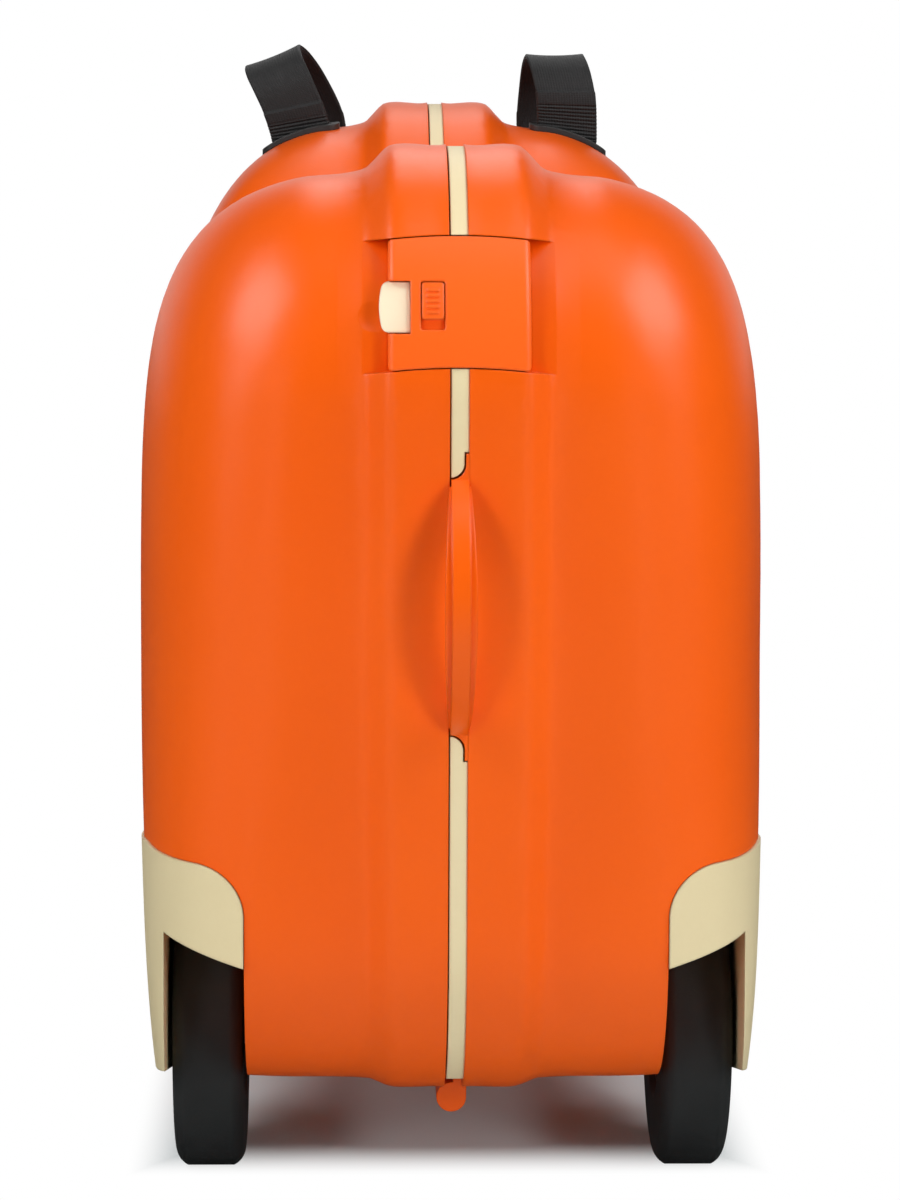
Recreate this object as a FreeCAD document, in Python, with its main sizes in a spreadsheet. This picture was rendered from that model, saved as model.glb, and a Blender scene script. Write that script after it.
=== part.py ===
import FreeCAD, Part
import math
import os
import re

import Sketcher
from FreeCAD import Placement, Rotation, Vector

# Ride-on suitcase. X runs across the case, Y from the rear to the front and Z up from the floor.
doc = FreeCAD.newDocument("ride_on_suitcase")

# Driving dimensions, in millimetres
SIZES = {
    # Shell
    "body_length": 490,
    "body_half_width": 106.7,
    "underside_height": 39,
    "rear_crest_height": 337,
    "front_crest_height": 354,
    "saddle_height": 294,
    "rear_hump_radius": 72,
    "front_hump_radius": 76,
    "foot_radius": 55,
    "belly_height": 190,
    "crown_roundness": 3.05,
    "end_roundness": 4.8,
    "floor_roundness": 10,
    "side_taper": 0.078,
    "taper_softness": 0.3,
    "front_taper": 0.03,
    "shell_wall": 2.5,
    "seam_gap": 6,
    # Raised band on both sides of the seam
    "band_half_width": 20,
    "band_run_out": 11,
    "band_rise": 8,
    "band_rise_floor": 3,
    # Seam strip and the tongue that closes the seam below
    "strip_gap": 0.4,
    "strip_recess": 0.6,
    "strip_depth": 10,
    "strip_end_height": 44,
    "tongue_thickness": 3,
    # Carry handle
    "handle_reach": 24,
    "handle_span": 80,
    "handle_root": 10,
    "handle_clear": 16.5,
    "handle_middle_height": 202,
    "handle_overhang": 8,
    "handle_notch": 4.2,
    "handle_sliver": 1,
    "handle_side_gap": 0.5,
    "grip_width": 10,
    "grip_end_width": 6.4,
    "grip_sink": 1.6,
    "handle_boss_width": 9,
    "handle_boss_height": 12,
    "handle_boss_depth": 14,
    "handle_screw_inset": 3,
    # Hinge
    "hinge_radius": 5,
    "hinge_drop": 2.2,
    "hinge_pin_radius": 2,
    "hinge_setback": 62,
    "hinge_web_width": 5,
    "hinge_web_gap": 0.5,
    "knuckle_gap": 0.4,
    "hinge_end_wall": 1.5,
    # Latch
    "cover_half_width": 22.2,
    "cover_bottom_height": 275.3,
    "cover_height": 40,
    "cover_arch": 1.25,
    "cover_skin": 1.6,
    "cover_wall": 2,
    "cover_gap": 0.35,
    "cover_edge": 2,
    "cover_corner": 1.5,
    "pocket_margin": 3,
    "pocket_step": 0.15,
    "latch_floor": 4.5,
    "latch_frame": 4,
    "latch_clearance": 0.3,
    "button_middle_height": 294.8,
    "button_height": 15.4,
    "button_width": 6.9,
    "button_overhang": 1.6,
    "button_bulge": 1.2,
    "button_corner": 2.5,
    "button_lap": 0.1,
    "button_tail_width": 8,
    "button_tail_length": 9.8,
    "slider_centre_x": -8.3,
    "slider_width": 6.9,
    "slider_corner": 0.8,
    "slider_length": 11.2,
    "slider_top_height": 302.5,
    "slider_travel": 3,
    "slider_rise": 0.4,
    "slider_flange": 0.6,
    "slider_layer": 1.5,
    "rib_spacing": 1.7,
    "rib_height": 0.4,
    "rib_inset": 1.5,
    "hook_width": 8,
    "hook_layer": 1.4,
    "hook_pivot_x": 1,
    "hook_pin_radius": 0.9,
    "hook_tip_x": 17.5,
    "hook_nose": 2.7,
    "hook_heel_x": -8,
    "hook_lug": 2,
    "keeper_width": 3.8,
    "keeper_height": 1.9,
    "post_radius": 2.5,
    "post_x": -17,
    "post_low_angle": 12.7,
    "post_high_angle": 35.7,
    "scoop_radius": 14,
    "scoop_depth": 1.2,
    "scoop_x": -27,
    # Rear wheels, their axles and housings
    "rear_wheel_radius": 50,
    "rear_wheel_width": 23,
    "rear_wheel_inset": 26,
    "rear_axle_setback": 90,
    "rear_tread_width": 15.5,
    "rear_shoulder": 7,
    "rear_shoulder_bulge": 1.3,
    "rear_rim_radius": 25,
    "rear_web_width": 8,
    "rear_boss_radius": 9,
    "rear_axle_radius": 4,
    "bush_wall": 2,
    "running_gap": 0.05,
    "axle_boss_radius": 9,
    "axle_boss_length": 10,
    "axle_skirt_hold": 4,
    "well_clearance": 4,
    "well_side_gap": 1.2,
    "skirt_gap": 1.5,
    "housing_reach": 39.2,
    "housing_corner": 16,
    "housing_rear_height": 117.7,
    "housing_level": 45,
    "housing_side_height": 106,
    "housing_skirt_corner": 6,
    "housing_skirt_inset": 5.5,
    "housing_bottom_height": 33,
    "housing_rise_angle": 12,
    "housing_screw_setback": 24,
    "housing_front_wall": 8,
    "housing_front_corner": 40,
    "housing_proud": 0.8,
    "housing_seat_gap": 0.15,
    "arch_inner_height": 85.5,
    "arch_outer_height": 93,
    # Front casters
    "caster_inset": 49.7,
    "caster_setback": 80,
    "caster_wheel_radius": 18,
    "caster_wheel_width": 16,
    "caster_rim_radius": 12,
    "caster_trail": 9,
    "caster_axle_radius": 2.5,
    "fork_arm": 3,
    "fork_side_gap": 0.8,
    "fork_wheel_gap": 3,
    "fork_crown": 5,
    "fork_crown_radius": 13,
    "fork_back": 10.5,
    "fork_foot": 6.5,
    "fork_sole": 5.8,
    "stem_radius": 5,
    "stem_length": 23,
    "clip_width": 3,
    "clip_thickness": 1.2,
    "cup_radius": 17,
    "cup_wall": 2.5,
    "cup_flange": 5.5,
    "cup_flange_thickness": 1.6,
    "cup_ceiling": 3,
    "cup_boss_wall": 5,
    "cup_boss_height": 16,
    # Webbing loops on the front hump
    "strap_inset": 54.7,
    "strap_width": 25,
    "strap_toe": 8,
    "strap_thickness": 1.8,
    "strap_top_height": 384,
    "strap_root_height": 296,
    "strap_near": 8,
    "strap_far": 37,
    "strap_crown": 18,
    "strap_slot_gap": 0.3,
    "strap_flange_margin": 3.5,
    "strap_flange_depth": 5.5,
    "strap_flange_corner": 5,
    "strap_flange_thickness": 2.4,
    # Screws
    "screw_radius": 1.4,
    "screw_head_radius": 2.8,
    "screw_head_height": 1.4,
    "screw_length": 12,
    # How far cutting blocks reach past what they cut
    "overcut": 20,
}

# Places worked out from the driving dimensions
PLACES = {
    "body_mid_y": "handle_reach / 2",
    "rear_y": "body_mid_y - body_length / 2",
    "front_y": "body_mid_y + body_length / 2",
    "band_rear_y": "rear_y - band_rise",
    "rim_x": "seam_gap / 2",
    "strip_left_x": "strip_gap - rim_x",
    "band_floor_z": "underside_height - band_rise_floor",
    "rear_hump_y": "rear_y + rear_hump_radius",
    "rear_hump_z": "rear_crest_height - rear_hump_radius",
    "front_hump_y": "front_y - front_hump_radius",
    "hinge_z": "band_floor_z - hinge_radius - hinge_drop",
    "knuckle_pitch": "(body_length - 2 * hinge_setback) / 7",
    "bow_radius": "(handle_span ^ 2 / 4 + handle_reach ^ 2) / (2 * handle_reach)",
    "bow_inner_span": "handle_span - 2 * handle_root",
    "bow_inner_radius": "(bow_inner_span ^ 2 / 4 + handle_clear ^ 2) / (2 * handle_clear)",
    "handle_low_z": "handle_middle_height - handle_span / 2",
    "handle_high_z": "handle_middle_height + handle_span / 2",
    "cover_radius": "rear_hump_radius + band_rise",
    "cover_top_height": "cover_bottom_height + cover_height",
    "cover_under_radius": "cover_radius - cover_skin",
    "latch_angle": "asin((button_middle_height - rear_hump_z) / cover_radius) / 1 deg",
    "button_inner_x": "button_width - cover_half_width",
    "button_top_radius": "cover_under_radius - latch_clearance",
    "slider_floor_radius": "button_top_radius - slider_layer",
    "tail_top_radius": "slider_floor_radius - latch_clearance",
    "tail_floor_radius": "tail_top_radius - hook_layer",
    "heel_top_radius": "tail_floor_radius - latch_clearance",
    "heel_floor_radius": "heel_top_radius - hook_layer",
    "keeper_top_radius": "rear_hump_radius + keeper_height",
    "hook_floor_radius": "keeper_top_radius + latch_clearance",
    "hook_pivot_radius": "(tail_top_radius + tail_floor_radius) / 2",
    "keeper_right_x": "hook_tip_x - hook_nose - latch_clearance",
    "rear_wheel_x": "body_half_width - rear_wheel_inset",
    "rear_axle_y": "rear_y + rear_axle_setback",
    "housing_inner_x": "body_half_width - housing_reach",
    "housing_skirt_x": "body_half_width - housing_skirt_inset",
    "well_radius": "rear_wheel_radius + well_clearance",
    "well_inner_x": "rear_wheel_x - rear_wheel_width / 2 - well_side_gap",
    "skirt_x": "rear_wheel_x + rear_wheel_width / 2 + skirt_gap",
    "housing_front_y": "rear_axle_y + well_radius + housing_front_wall",
    "outside_x": "body_half_width + housing_corner",
    "caster_x": "body_half_width - caster_inset",
    "caster_y": "front_y - caster_setback",
    "caster_axle_y": "caster_y - caster_trail",
    "fork_inner_half": "caster_wheel_width / 2 + fork_side_gap",
    "fork_half_width": "fork_inner_half + fork_arm",
    "fork_roof_z": "2 * caster_wheel_radius + fork_wheel_gap",
    "cup_roof_z": "fork_roof_z + fork_crown + 10 * running_gap",
    "cup_boss_radius": "stem_radius + cup_boss_wall",
    "cup_top_z": "cup_roof_z + cup_ceiling + cup_boss_height",
    "strap_x": "body_half_width - strap_inset",
    "strap_near_y": "front_hump_y - strap_near",
    "strap_far_y": "front_hump_y + strap_far",
    "strap_mid_y": "(strap_near_y + strap_far_y) / 2",
    "handle_mid_x": "(rim_x + strip_left_x) / 2",
    "sliver_x": "rim_x - handle_sliver",
    "screw_hole_radius": "screw_radius + running_gap",
}


def qualify(formula, inside_places=False):
    """Put the sheet's name in front of each alias in a formula."""
    def with_sheet(match):
        word = match.group(0)
        if word in SIZES:
            return "sizes." + word
        if word in PLACES and not inside_places:
            return "places." + word
        return word
    return re.sub(r"\b[a-z][a-z_0-9]*\b", with_sheet, formula)


def fill_sheet(name, rows):
    sheet = doc.addObject("Spreadsheet::Sheet", name)
    for number, (alias, content) in enumerate(rows.items(), start=1):
        sheet.set(f"A{number}", alias.replace("_", " "))
        sheet.set(f"B{number}", content)
        sheet.setAlias(f"B{number}", alias)
    return sheet


sizes = fill_sheet("sizes", {alias: str(size) for alias, size in SIZES.items()})
places = fill_sheet("places", {alias: "=" + qualify(formula, True) for alias, formula in PLACES.items()})
doc.recompute()


def number(formula):
    """The present value of a formula of aliases."""
    return FreeCAD.Units.Quantity(str(sizes.evalExpression(qualify(str(formula))))).Value


def bind(thing, formulas):
    for name, formula in formulas.items():
        thing.setExpression(name, qualify(str(formula)))


# Primitives and booleans
TURNS = {"x": Rotation(Vector(0, 1, 0), 90), "y": Rotation(Vector(1, 0, 0), -90), "z": Rotation()}


def box(name, x, y, z):
    """A block from three pairs of formulas, the lowest and highest place along each axis."""
    block = doc.addObject("Part::Box", name)
    spans = [f"({high}) - ({low})" for low, high in (x, y, z)]
    bind(block, dict(zip(("Length", "Width", "Height"), spans)))
    bind(block, {"Placement.Base.x": x[0], "Placement.Base.y": y[0], "Placement.Base.z": z[0]})
    return block


def cylinder(name, axis, radius, span, centre):
    """A rod along an axis; centre holds its two other coordinates."""
    rod = doc.addObject("Part::Cylinder", name)
    rod.Placement = Placement(Vector(), TURNS[axis])
    across = [letter for letter in "xyz" if letter != axis]
    bind(rod, {"Radius": radius, "Height": f"({span[1]}) - ({span[0]})", f"Placement.Base.{axis}": span[0]})
    bind(rod, {f"Placement.Base.{letter}": place for letter, place in zip(across, centre)})
    return rod


def fuse(name, *shapes):
    joined = doc.addObject("Part::MultiFuse", name)
    joined.Shapes = list(shapes)
    joined.Refine = False
    return joined


def common(name, *shapes):
    shared = doc.addObject("Part::MultiCommon", name)
    shared.Shapes = list(shapes)
    shared.Refine = False
    return shared


def cut(name, base, *tools):
    for tool in tools:
        remainder = doc.addObject("Part::Cut", name)
        remainder.Base = base
        remainder.Tool = tool
        remainder.Refine = False
        base = remainder
    return base


def mirror(name, source):
    """The same piece on the left side of the case."""
    image = doc.addObject("Part::Mirroring", name)
    image.Source = source
    image.Base = Vector(0, 0, 0)
    image.Normal = Vector(1, 0, 0)
    return image


def group(name, *pieces):
    """Separate solids that share one node."""
    bundle = doc.addObject("Part::Compound", name)
    bundle.Links = list(pieces)
    return bundle


# Sketched pieces
def arc_radius(start, end, bulge):
    chord_square = f"(({end[0]}) - ({start[0]})) ^ 2 + (({end[1]}) - ({start[1]})) ^ 2"
    return f"(({chord_square}) / 4 + ({bulge}) ^ 2) / (2 * abs({bulge}))"


def add_arc(sketch, start, end, bulge):
    """An arc that stands bulge to the right of the way from start to end; returns its end positions."""
    first = Vector(number(start[0]), number(start[1]), 0)
    last = Vector(number(end[0]), number(end[1]), 0)
    height = number(bulge)
    radius = number(arc_radius(start, end, bulge))
    along = (last - first).normalize()
    rightward = Vector(along.y, -along.x, 0)
    centre = (first + last) / 2 + rightward * (height - math.copysign(radius, height))
    ends = [first, last] if height > 0 else [last, first]
    angles = [math.atan2(point.y - centre.y, point.x - centre.x) for point in ends]
    circle = Part.Circle(centre, Vector(0, 0, 1), radius)
    index = sketch.addGeometry(Part.ArcOfCircle(circle, *angles))
    return (index, 1, 2) if height > 0 else (index, 2, 1)


def sketch_on(body, plane_role, corners):
    """A closed outline; a corner with a third formula starts an arc with that bulge."""
    sketch = body.newObject("Sketcher::SketchObject", body.Name + "_outline")
    plane = [feature for feature in body.Origin.OriginFeatures if feature.Role == plane_role]
    sketch.AttachmentSupport = [(plane[0], "")]
    sketch.MapMode = "FlatFace"
    sides = []
    for corner, following in zip(corners, corners[1:] + corners[:1]):
        if len(corner) == 3:
            sides.append(add_arc(sketch, corner, following, corner[2]))
        else:
            start = Vector(number(corner[0]), number(corner[1]), 0)
            end = Vector(number(following[0]), number(following[1]), 0)
            sides.append((sketch.addGeometry(Part.LineSegment(start, end)), 1, 2))
    for place, (corner, following) in enumerate(zip(corners, corners[1:] + corners[:1])):
        index, at_first, at_last = sides[place]
        next_index, next_first, _ = sides[(place + 1) % len(sides)]
        sketch.addConstraint(Sketcher.Constraint("Coincident", index, at_last, next_index, next_first))
        for kind, formula in (("DistanceX", corner[0]), ("DistanceY", corner[1])):
            rule = sketch.addConstraint(Sketcher.Constraint(kind, -1, 1, index, at_first, number(formula)))
            bind(sketch, {f"Constraints[{rule}]": formula})
        if len(corner) == 3:
            radius = arc_radius(corner, following, corner[2])
            rule = sketch.addConstraint(Sketcher.Constraint("Radius", index, number(radius)))
            bind(sketch, {f"Constraints[{rule}]": radius})
    return sketch


# How far the arc of a quarter turn stands beyond its chord, as a share of its radius
QUARTER_BULGE = 0.29
PLANE_ACROSS = {"x": "YZ_Plane", "y": "XZ_Plane", "z": "XY_Plane"}
CORNER_AXES = {"x": "yz", "y": "xz", "z": "xy"}


def prism(name, axis, corners, span, rounds=None):
    """An outline across an axis, padded along it; rounds gives radii for corners by their number."""
    body = doc.addObject("PartDesign::Body", name)
    sketch = sketch_on(body, PLANE_ACROSS[axis], corners)
    far_end = f"-({span[1]})" if axis == "y" else span[0]
    bind(sketch, {"AttachmentOffset.Base.z": far_end})
    pad = body.newObject("PartDesign::Pad", name + "_pad")
    pad.Profile = sketch
    bind(pad, {"Length": f"({span[1]}) - ({span[0]})"})
    body.Tip = pad
    doc.recompute()
    for corner_number, radius in (rounds or {}).items():
        place = [number(formula) for formula in corners[corner_number][:2]]
        round_edges(body, radius, lambda edge: stands_at(edge, CORNER_AXES[axis], place))
    return body


def stands_at(edge, axes, place):
    """Whether both ends of an edge lie at one place in the outline's plane."""
    gaps = [abs(getattr(end.Point, letter) - at) for end in edge.Vertexes for letter, at in zip(axes, place)]
    return max(gaps) < 1e-3


def round_edges(body, radius, wanted):
    names = [f"Edge{place}" for place, edge in enumerate(body.Shape.Edges, start=1) if wanted(edge)]
    rounded = body.Tip
    fillet = body.newObject("PartDesign::Fillet", body.Name + "_round")
    fillet.Base = (rounded, names)
    bind(fillet, {"Radius": radius})
    body.Tip = fillet
    doc.recompute()


def turned(name, axis, corners, centre):
    """A profile of places along the axis and radii, turned about the axis through a centre."""
    body = doc.addObject("PartDesign::Body", name)
    along_first = corners if axis == "x" else [(radius, along) for along, radius in corners]
    sketch = sketch_on(body, "XY_Plane" if axis == "x" else "XZ_Plane", along_first)
    turn = body.newObject("PartDesign::Revolution", name + "_turn")
    turn.Profile = sketch
    turn.ReferenceAxis = (sketch, ["H_Axis" if axis == "x" else "V_Axis"])
    turn.Angle = 360
    body.Tip = turn
    bind(body, {f"Placement.Base.{letter}": place for letter, place in zip("xyz", centre)})
    doc.recompute()
    return body


def on_latch(body, angle):
    """Seat a piece on the rear hump's axis, so that its own Z is a radius leaning at an angle."""
    body.Placement = Placement(Vector(), Rotation(Vector(1, 0, 0), 90 - number(angle)))
    bind(body, {"Placement.Base.y": "rear_hump_y", "Placement.Base.z": "rear_hump_z"})
    bind(body, {"Placement.Rotation.Angle": f"90 - {angle}"})
    return body


def screw(name, axis, seat, centre, points_up=True):
    """A pan-head screw whose head sits at seat; centre holds its two other coordinates."""
    sign = "+" if points_up else "-"
    ends = [seat, f"{seat} {sign} screw_length"]
    head_ends = [f"{seat} {'-' if points_up else '+'} screw_head_height", seat]
    if not points_up:
        ends.reverse()
        head_ends.reverse()
    shank = cylinder(name + "_shank", axis, "screw_radius", ends, centre)
    head = cylinder(name + "_head", axis, "screw_head_radius", head_ends, centre)
    hole = cylinder(name + "_hole", axis, "screw_hole_radius", ends, centre)
    return fuse(name, shank, head), hole


# The body's skin
def smooth(share):
    share = min(max(share, 0), 1)
    return share * share * (3 - 2 * share)


def seam_outline(floor):
    """Lines and arcs of the seam plane, tangent to each other, from the middle of the underside."""
    half = number("body_length") / 2
    foot = number("foot_radius")
    rear_radius, front_radius = number("rear_hump_radius"), number("front_hump_radius")
    rear = (rear_radius - half, number("rear_crest_height") - rear_radius)
    front = (half - front_radius, number("front_crest_height") - front_radius)
    saddle_z = number("saddle_height")
    rear_dip = number("rear_crest_height") - saddle_z
    front_dip = number("front_crest_height") - saddle_z
    # The saddle arc touches both humps, so its lowest point solves one quadratic
    lead = 1 / (2 * rear_dip) - 1 / (2 * front_dip)
    middle = front[0] / front_dip - rear[0] / rear_dip
    rest = rear[0] ** 2 / (2 * rear_dip) - front[0] ** 2 / (2 * front_dip)
    rest -= rear_radius - front_radius - (rear_dip - front_dip) / 2
    if abs(lead) < 1e-9:
        saddle_y = -rest / middle
    else:
        spread = math.sqrt(middle ** 2 - 4 * lead * rest)
        roots = [(-middle + spread) / (2 * lead), (-middle - spread) / (2 * lead)]
        saddle_y = [root for root in roots if rear[0] < root < front[0]][0]
    saddle_radius = (saddle_y - rear[0]) ** 2 / (2 * rear_dip) - rear_radius + rear_dip / 2
    saddle = (saddle_y, saddle_z + saddle_radius)
    front_touch = math.atan2(saddle[1] - front[1], saddle[0] - front[0])
    rear_touch = math.atan2(saddle[1] - rear[1], saddle[0] - rear[0])
    quarter = math.pi / 2
    return [
        ("line", (0, floor), (half - foot, floor), (0, -1)),
        ("arc", (half - foot, floor + foot), foot, -quarter, 0),
        ("line", (half, floor + foot), (half, front[1]), (1, 0)),
        ("arc", front, front_radius, 0, front_touch),
        ("hollow", saddle, saddle_radius, front_touch - math.pi, rear_touch - math.pi),
        ("arc", rear, rear_radius, rear_touch, math.pi),
        ("line", (-half, rear[1]), (-half, floor + foot), (-1, 0)),
        ("arc", (foot - half, floor + foot), foot, math.pi, 3 * quarter),
        ("line", (foot - half, floor), (0, floor), (0, -1)),
    ]


def stretch_length(stretch):
    if stretch[0] == "line":
        return math.dist(stretch[1], stretch[2])
    return stretch[2] * abs(stretch[4] - stretch[3])


def point_along(stretch, way):
    """The point and outward normal at a way along one stretch of the outline."""
    share = way / stretch_length(stretch)
    if stretch[0] == "line":
        start, end, normal = stretch[1:]
        return [a + (b - a) * share for a, b in zip(start, end)], normal
    kind, centre, radius, first, last = stretch
    angle = first + (last - first) * share
    normal = (math.cos(angle), math.sin(angle))
    point = [c + radius * n for c, n in zip(centre, normal)]
    if kind == "hollow":
        normal = (-normal[0], -normal[1])
    return point, normal


OUTLINE_POINTS = 96


def outline_points(floor="underside_height"):
    """Points and normals spaced evenly round the seam, or round one with a lower floor."""
    stretches = seam_outline(number(floor))
    step = sum(stretch_length(stretch) for stretch in stretches) / OUTLINE_POINTS
    points = []
    way = 0
    for stretch in stretches:
        length = stretch_length(stretch)
        while way < length and len(points) < OUTLINE_POINTS:
            points.append(point_along(stretch, way))
            way += step
        way -= length
    return points


def blend_by_direction(point, at_top, at_end, at_floor):
    """A value that changes from the body's ends to its top and its underside."""
    rise = point[1] - number("belly_height")
    slope = rise / math.hypot(point[0], rise)
    if slope > 0:
        return at_end + (at_top - at_end) * smooth(slope)
    return at_end + (at_floor - at_end) * smooth(-slope)


def band_lift(normal):
    """How far the band stands out, less on the underside."""
    under = smooth(-normal[1])
    return number("band_rise") + (number("band_rise_floor") - number("band_rise")) * under


CAP_SHARE = 0.15
BAND_STATIONS = 9
SIDE_STATIONS = 8


def skin(name, grow, banded, first_x, floor="underside_height"):
    """One half of the body's surface as a solid, moved outwards by grow, with or without the band."""
    half_width = number("body_half_width") + grow
    belly = number("belly_height")
    band_edge = number("band_half_width")
    run_out = number("band_run_out")
    band_end = band_edge + run_out
    reach = belly - number("underside_height")
    sections = [[] for _ in range(BAND_STATIONS + SIDE_STATIONS + 2)]
    for point, normal in outline_points(floor):
        power = blend_by_direction(point, number("crown_roundness"), number("end_roundness"),
                                   number("floor_roundness"))
        rise = band_lift(normal)
        arm = (point[0] + normal[0] * grow, point[1] + normal[1] * grow - belly)
        turn_start = math.asin((band_end / half_width) ** (power / 2))
        turn_end = math.acos(CAP_SHARE ** (power / 2))
        for station, section in enumerate(sections):
            if station < 2:
                x = first_x + (band_edge - first_x) * station / 2
                share = (1 - (x / half_width) ** power) ** (1 / power)
            elif station < BAND_STATIONS:
                x = band_edge + run_out * (station - 2) / (BAND_STATIONS - 2)
                share = (1 - (x / half_width) ** power) ** (1 / power)
            elif station <= BAND_STATIONS + SIDE_STATIONS:
                turn = turn_start + (turn_end - turn_start) * (station - BAND_STATIONS) / SIDE_STATIONS
                x = half_width * math.sin(turn) ** (2 / power)
                share = math.cos(turn) ** (2 / power)
            else:
                x = half_width
                share = CAP_SHARE / 2
            lift = rise * (1 - smooth((x - band_edge) / run_out)) if banded else 0
            y = arm[0] * share + normal[0] * lift
            z = belly + arm[1] * share + normal[1] * lift
            drop = max(belly - z, 0) / reach
            taper = number("side_taper") * drop * drop / (drop + number("taper_softness"))
            taper += number("front_taper") * smooth(2 * y / number("body_length"))
            section.append([first_x + (x - first_x) * (1 - taper), y, z])
    for corner in sections[-1]:
        corner[0] = half_width
    loft = doc.addObject("Part::Feature", name)
    loft.Shape = solid_through([[Vector(x, number("body_mid_y") + y, z) for x, y, z in section]
                                for section in sections])
    return loft


def solid_through(sections):
    """A solid whose side passes smoothly through closed rows of points, with flat ends."""
    ways = [0]
    for row, following in zip(sections, sections[1:]):
        steps = [start.distanceToPoint(end) for start, end in zip(row, following)]
        ways.append(ways[-1] + sum(steps) / len(steps))
    rings = []
    for row in sections:
        ring = Part.BSplineCurve()
        ring.interpolate(Points=row, PeriodicFlag=True, Parameters=list(range(len(row) + 1)))
        rings.append(ring)
    ribs = []
    for column in zip(*[ring.getPoles() for ring in rings]):
        rib = Part.BSplineCurve()
        rib.interpolate(Points=list(column), Parameters=ways)
        ribs.append(rib)
    side = Part.BSplineSurface()
    side.buildFromPolesMultsKnots([rib.getPoles() for rib in ribs],
                                  rings[0].getMultiplicities(), ribs[0].getMultiplicities(),
                                  rings[0].getKnots(), ribs[0].getKnots(), True, False,
                                  rings[0].Degree, ribs[0].Degree)
    side_face = side.toShape()
    caps = [Part.Face(Part.Wire(edge)) for edge in side_face.Edges if edge.isClosed()]
    shell = Part.makeShell([side_face] + caps)
    shell.sewShape()
    solid = Part.Solid(shell)
    if solid.Volume < 0:
        solid.reverse()
    return solid


def seam_ring(name, outer_drop, inner_drop, span):
    """A flat ring that follows the band round the seam, between two depths under its crest."""
    faces = []
    for drop in (outer_drop, inner_drop):
        corners = []
        for point, normal in outline_points():
            lift = band_lift(normal) - number(drop)
            y = number("body_mid_y") + point[0] + normal[0] * lift
            corners.append(Vector(number(span[0]), y, point[1] + normal[1] * lift))
        curve = Part.BSplineCurve()
        curve.interpolate(Points=corners, PeriodicFlag=True)
        faces.append(Part.Face(Part.Wire(curve.toShape())))
    length = number(span[1]) - number(span[0])
    solids = [face.extrude(Vector(length, 0, 0)) for face in faces]
    ring = doc.addObject("Part::Feature", name)
    ring.Shape = solids[0].cut(solids[1])
    return ring


nodes = {}

outer_skin = skin("outer_skin", 0, True, number("rim_x"))
inner_skin = skin("inner_skin", -number("shell_wall"), True, number("rim_x") - number("shell_wall") / 2)
housing_skin = skin("housing_skin", number("housing_proud"), False, number("rim_x"), "0")
pocket_skin = skin("pocket_skin", number("pocket_step"), False, number("rim_x"))
pan_skin = skin("pan_skin", -number("latch_floor"), False, number("rim_x") - number("shell_wall") / 2)

# Rear wheel housings, and the wells in the shells that take them
def housing_region(name, grow):
    """The space of the housing, seen from the rear and from the side, grown by a gap."""
    rear_view = prism(name + "_rear_view", "y", [
        (f"housing_inner_x - {grow}", "0"),
        ("outside_x", "0"),
        ("outside_x", f"housing_rear_height + {grow}"),
        (f"housing_inner_x - {grow}", f"housing_rear_height + {grow}"),
    ], ("rear_y - overcut", f"housing_front_y + {grow}"), {3: "housing_corner"})
    side_view = prism(name + "_side_view", "x", [
        ("rear_y - overcut", "0"),
        (f"housing_front_y + {grow}", "0"),
        (f"housing_front_y + {grow}", f"housing_side_height + {grow}"),
        ("rear_y + housing_level", f"housing_rear_height + {grow} + housing_proud"),
        ("rear_y - overcut", f"housing_rear_height + {grow} + housing_proud"),
    ], (f"housing_inner_x - {grow}", "outside_x"), {2: "housing_front_corner"})
    return common(name, rear_view, side_view)


well_block = box("well_block", ("well_inner_x - shell_wall", "outside_x"),
                 ("rear_y - overcut", "housing_front_y + housing_seat_gap + shell_wall"),
                 ("0", "housing_rear_height + housing_seat_gap + shell_wall"))
well_walls = common("well_walls", well_block, outer_skin)
well_space = housing_region("well_space", "housing_seat_gap")
wheel_arch = cylinder("wheel_arch", "x", "well_radius", ("well_inner_x", "skirt_x"),
                      ("rear_axle_y", "rear_wheel_radius"))
wheel_passage = box("wheel_passage", ("well_inner_x", "skirt_x"),
                    ("rear_axle_y - well_radius", "rear_axle_y + well_radius"), ("0", "rear_wheel_radius"))
wheel_room = fuse("wheel_room", wheel_arch, wheel_passage)
rear_window = prism("rear_window", "y", [
    ("housing_inner_x - 2 * housing_seat_gap", "0"),
    ("skirt_x", "0"),
    ("skirt_x", "arch_outer_height"),
    ("housing_inner_x - 2 * housing_seat_gap", "arch_inner_height"),
], ("rear_y - overcut", "rear_axle_y"))
axle_boss = cylinder("axle_boss", "x", "axle_boss_radius",
                     ("well_inner_x - axle_boss_length", "well_inner_x"),
                     ("rear_axle_y", "rear_wheel_radius"))
axle_bore = cylinder("axle_bore", "x", "rear_axle_radius",
                     ("well_inner_x - axle_boss_length + shell_wall", "skirt_x + axle_skirt_hold"),
                     ("rear_axle_y", "rear_wheel_radius"))

housing_space = housing_region("housing_space", "0")


def below_skirt(name):
    """The space under the housing's skirt, with a round outer corner."""
    corner_z = "housing_bottom_height + housing_skirt_corner"
    return prism(name, "y", [
        ("0", "-overcut"),
        ("outside_x", "-overcut"),
        ("outside_x", corner_z),
        ("housing_skirt_x", corner_z, f"-{QUARTER_BULGE} * housing_skirt_corner"),
        ("housing_skirt_x - housing_skirt_corner", "housing_bottom_height"),
        ("0", "housing_bottom_height"),
    ], ("rear_y - overcut", "housing_front_y + overcut"))


below_housing = below_skirt("below_housing")
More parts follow.
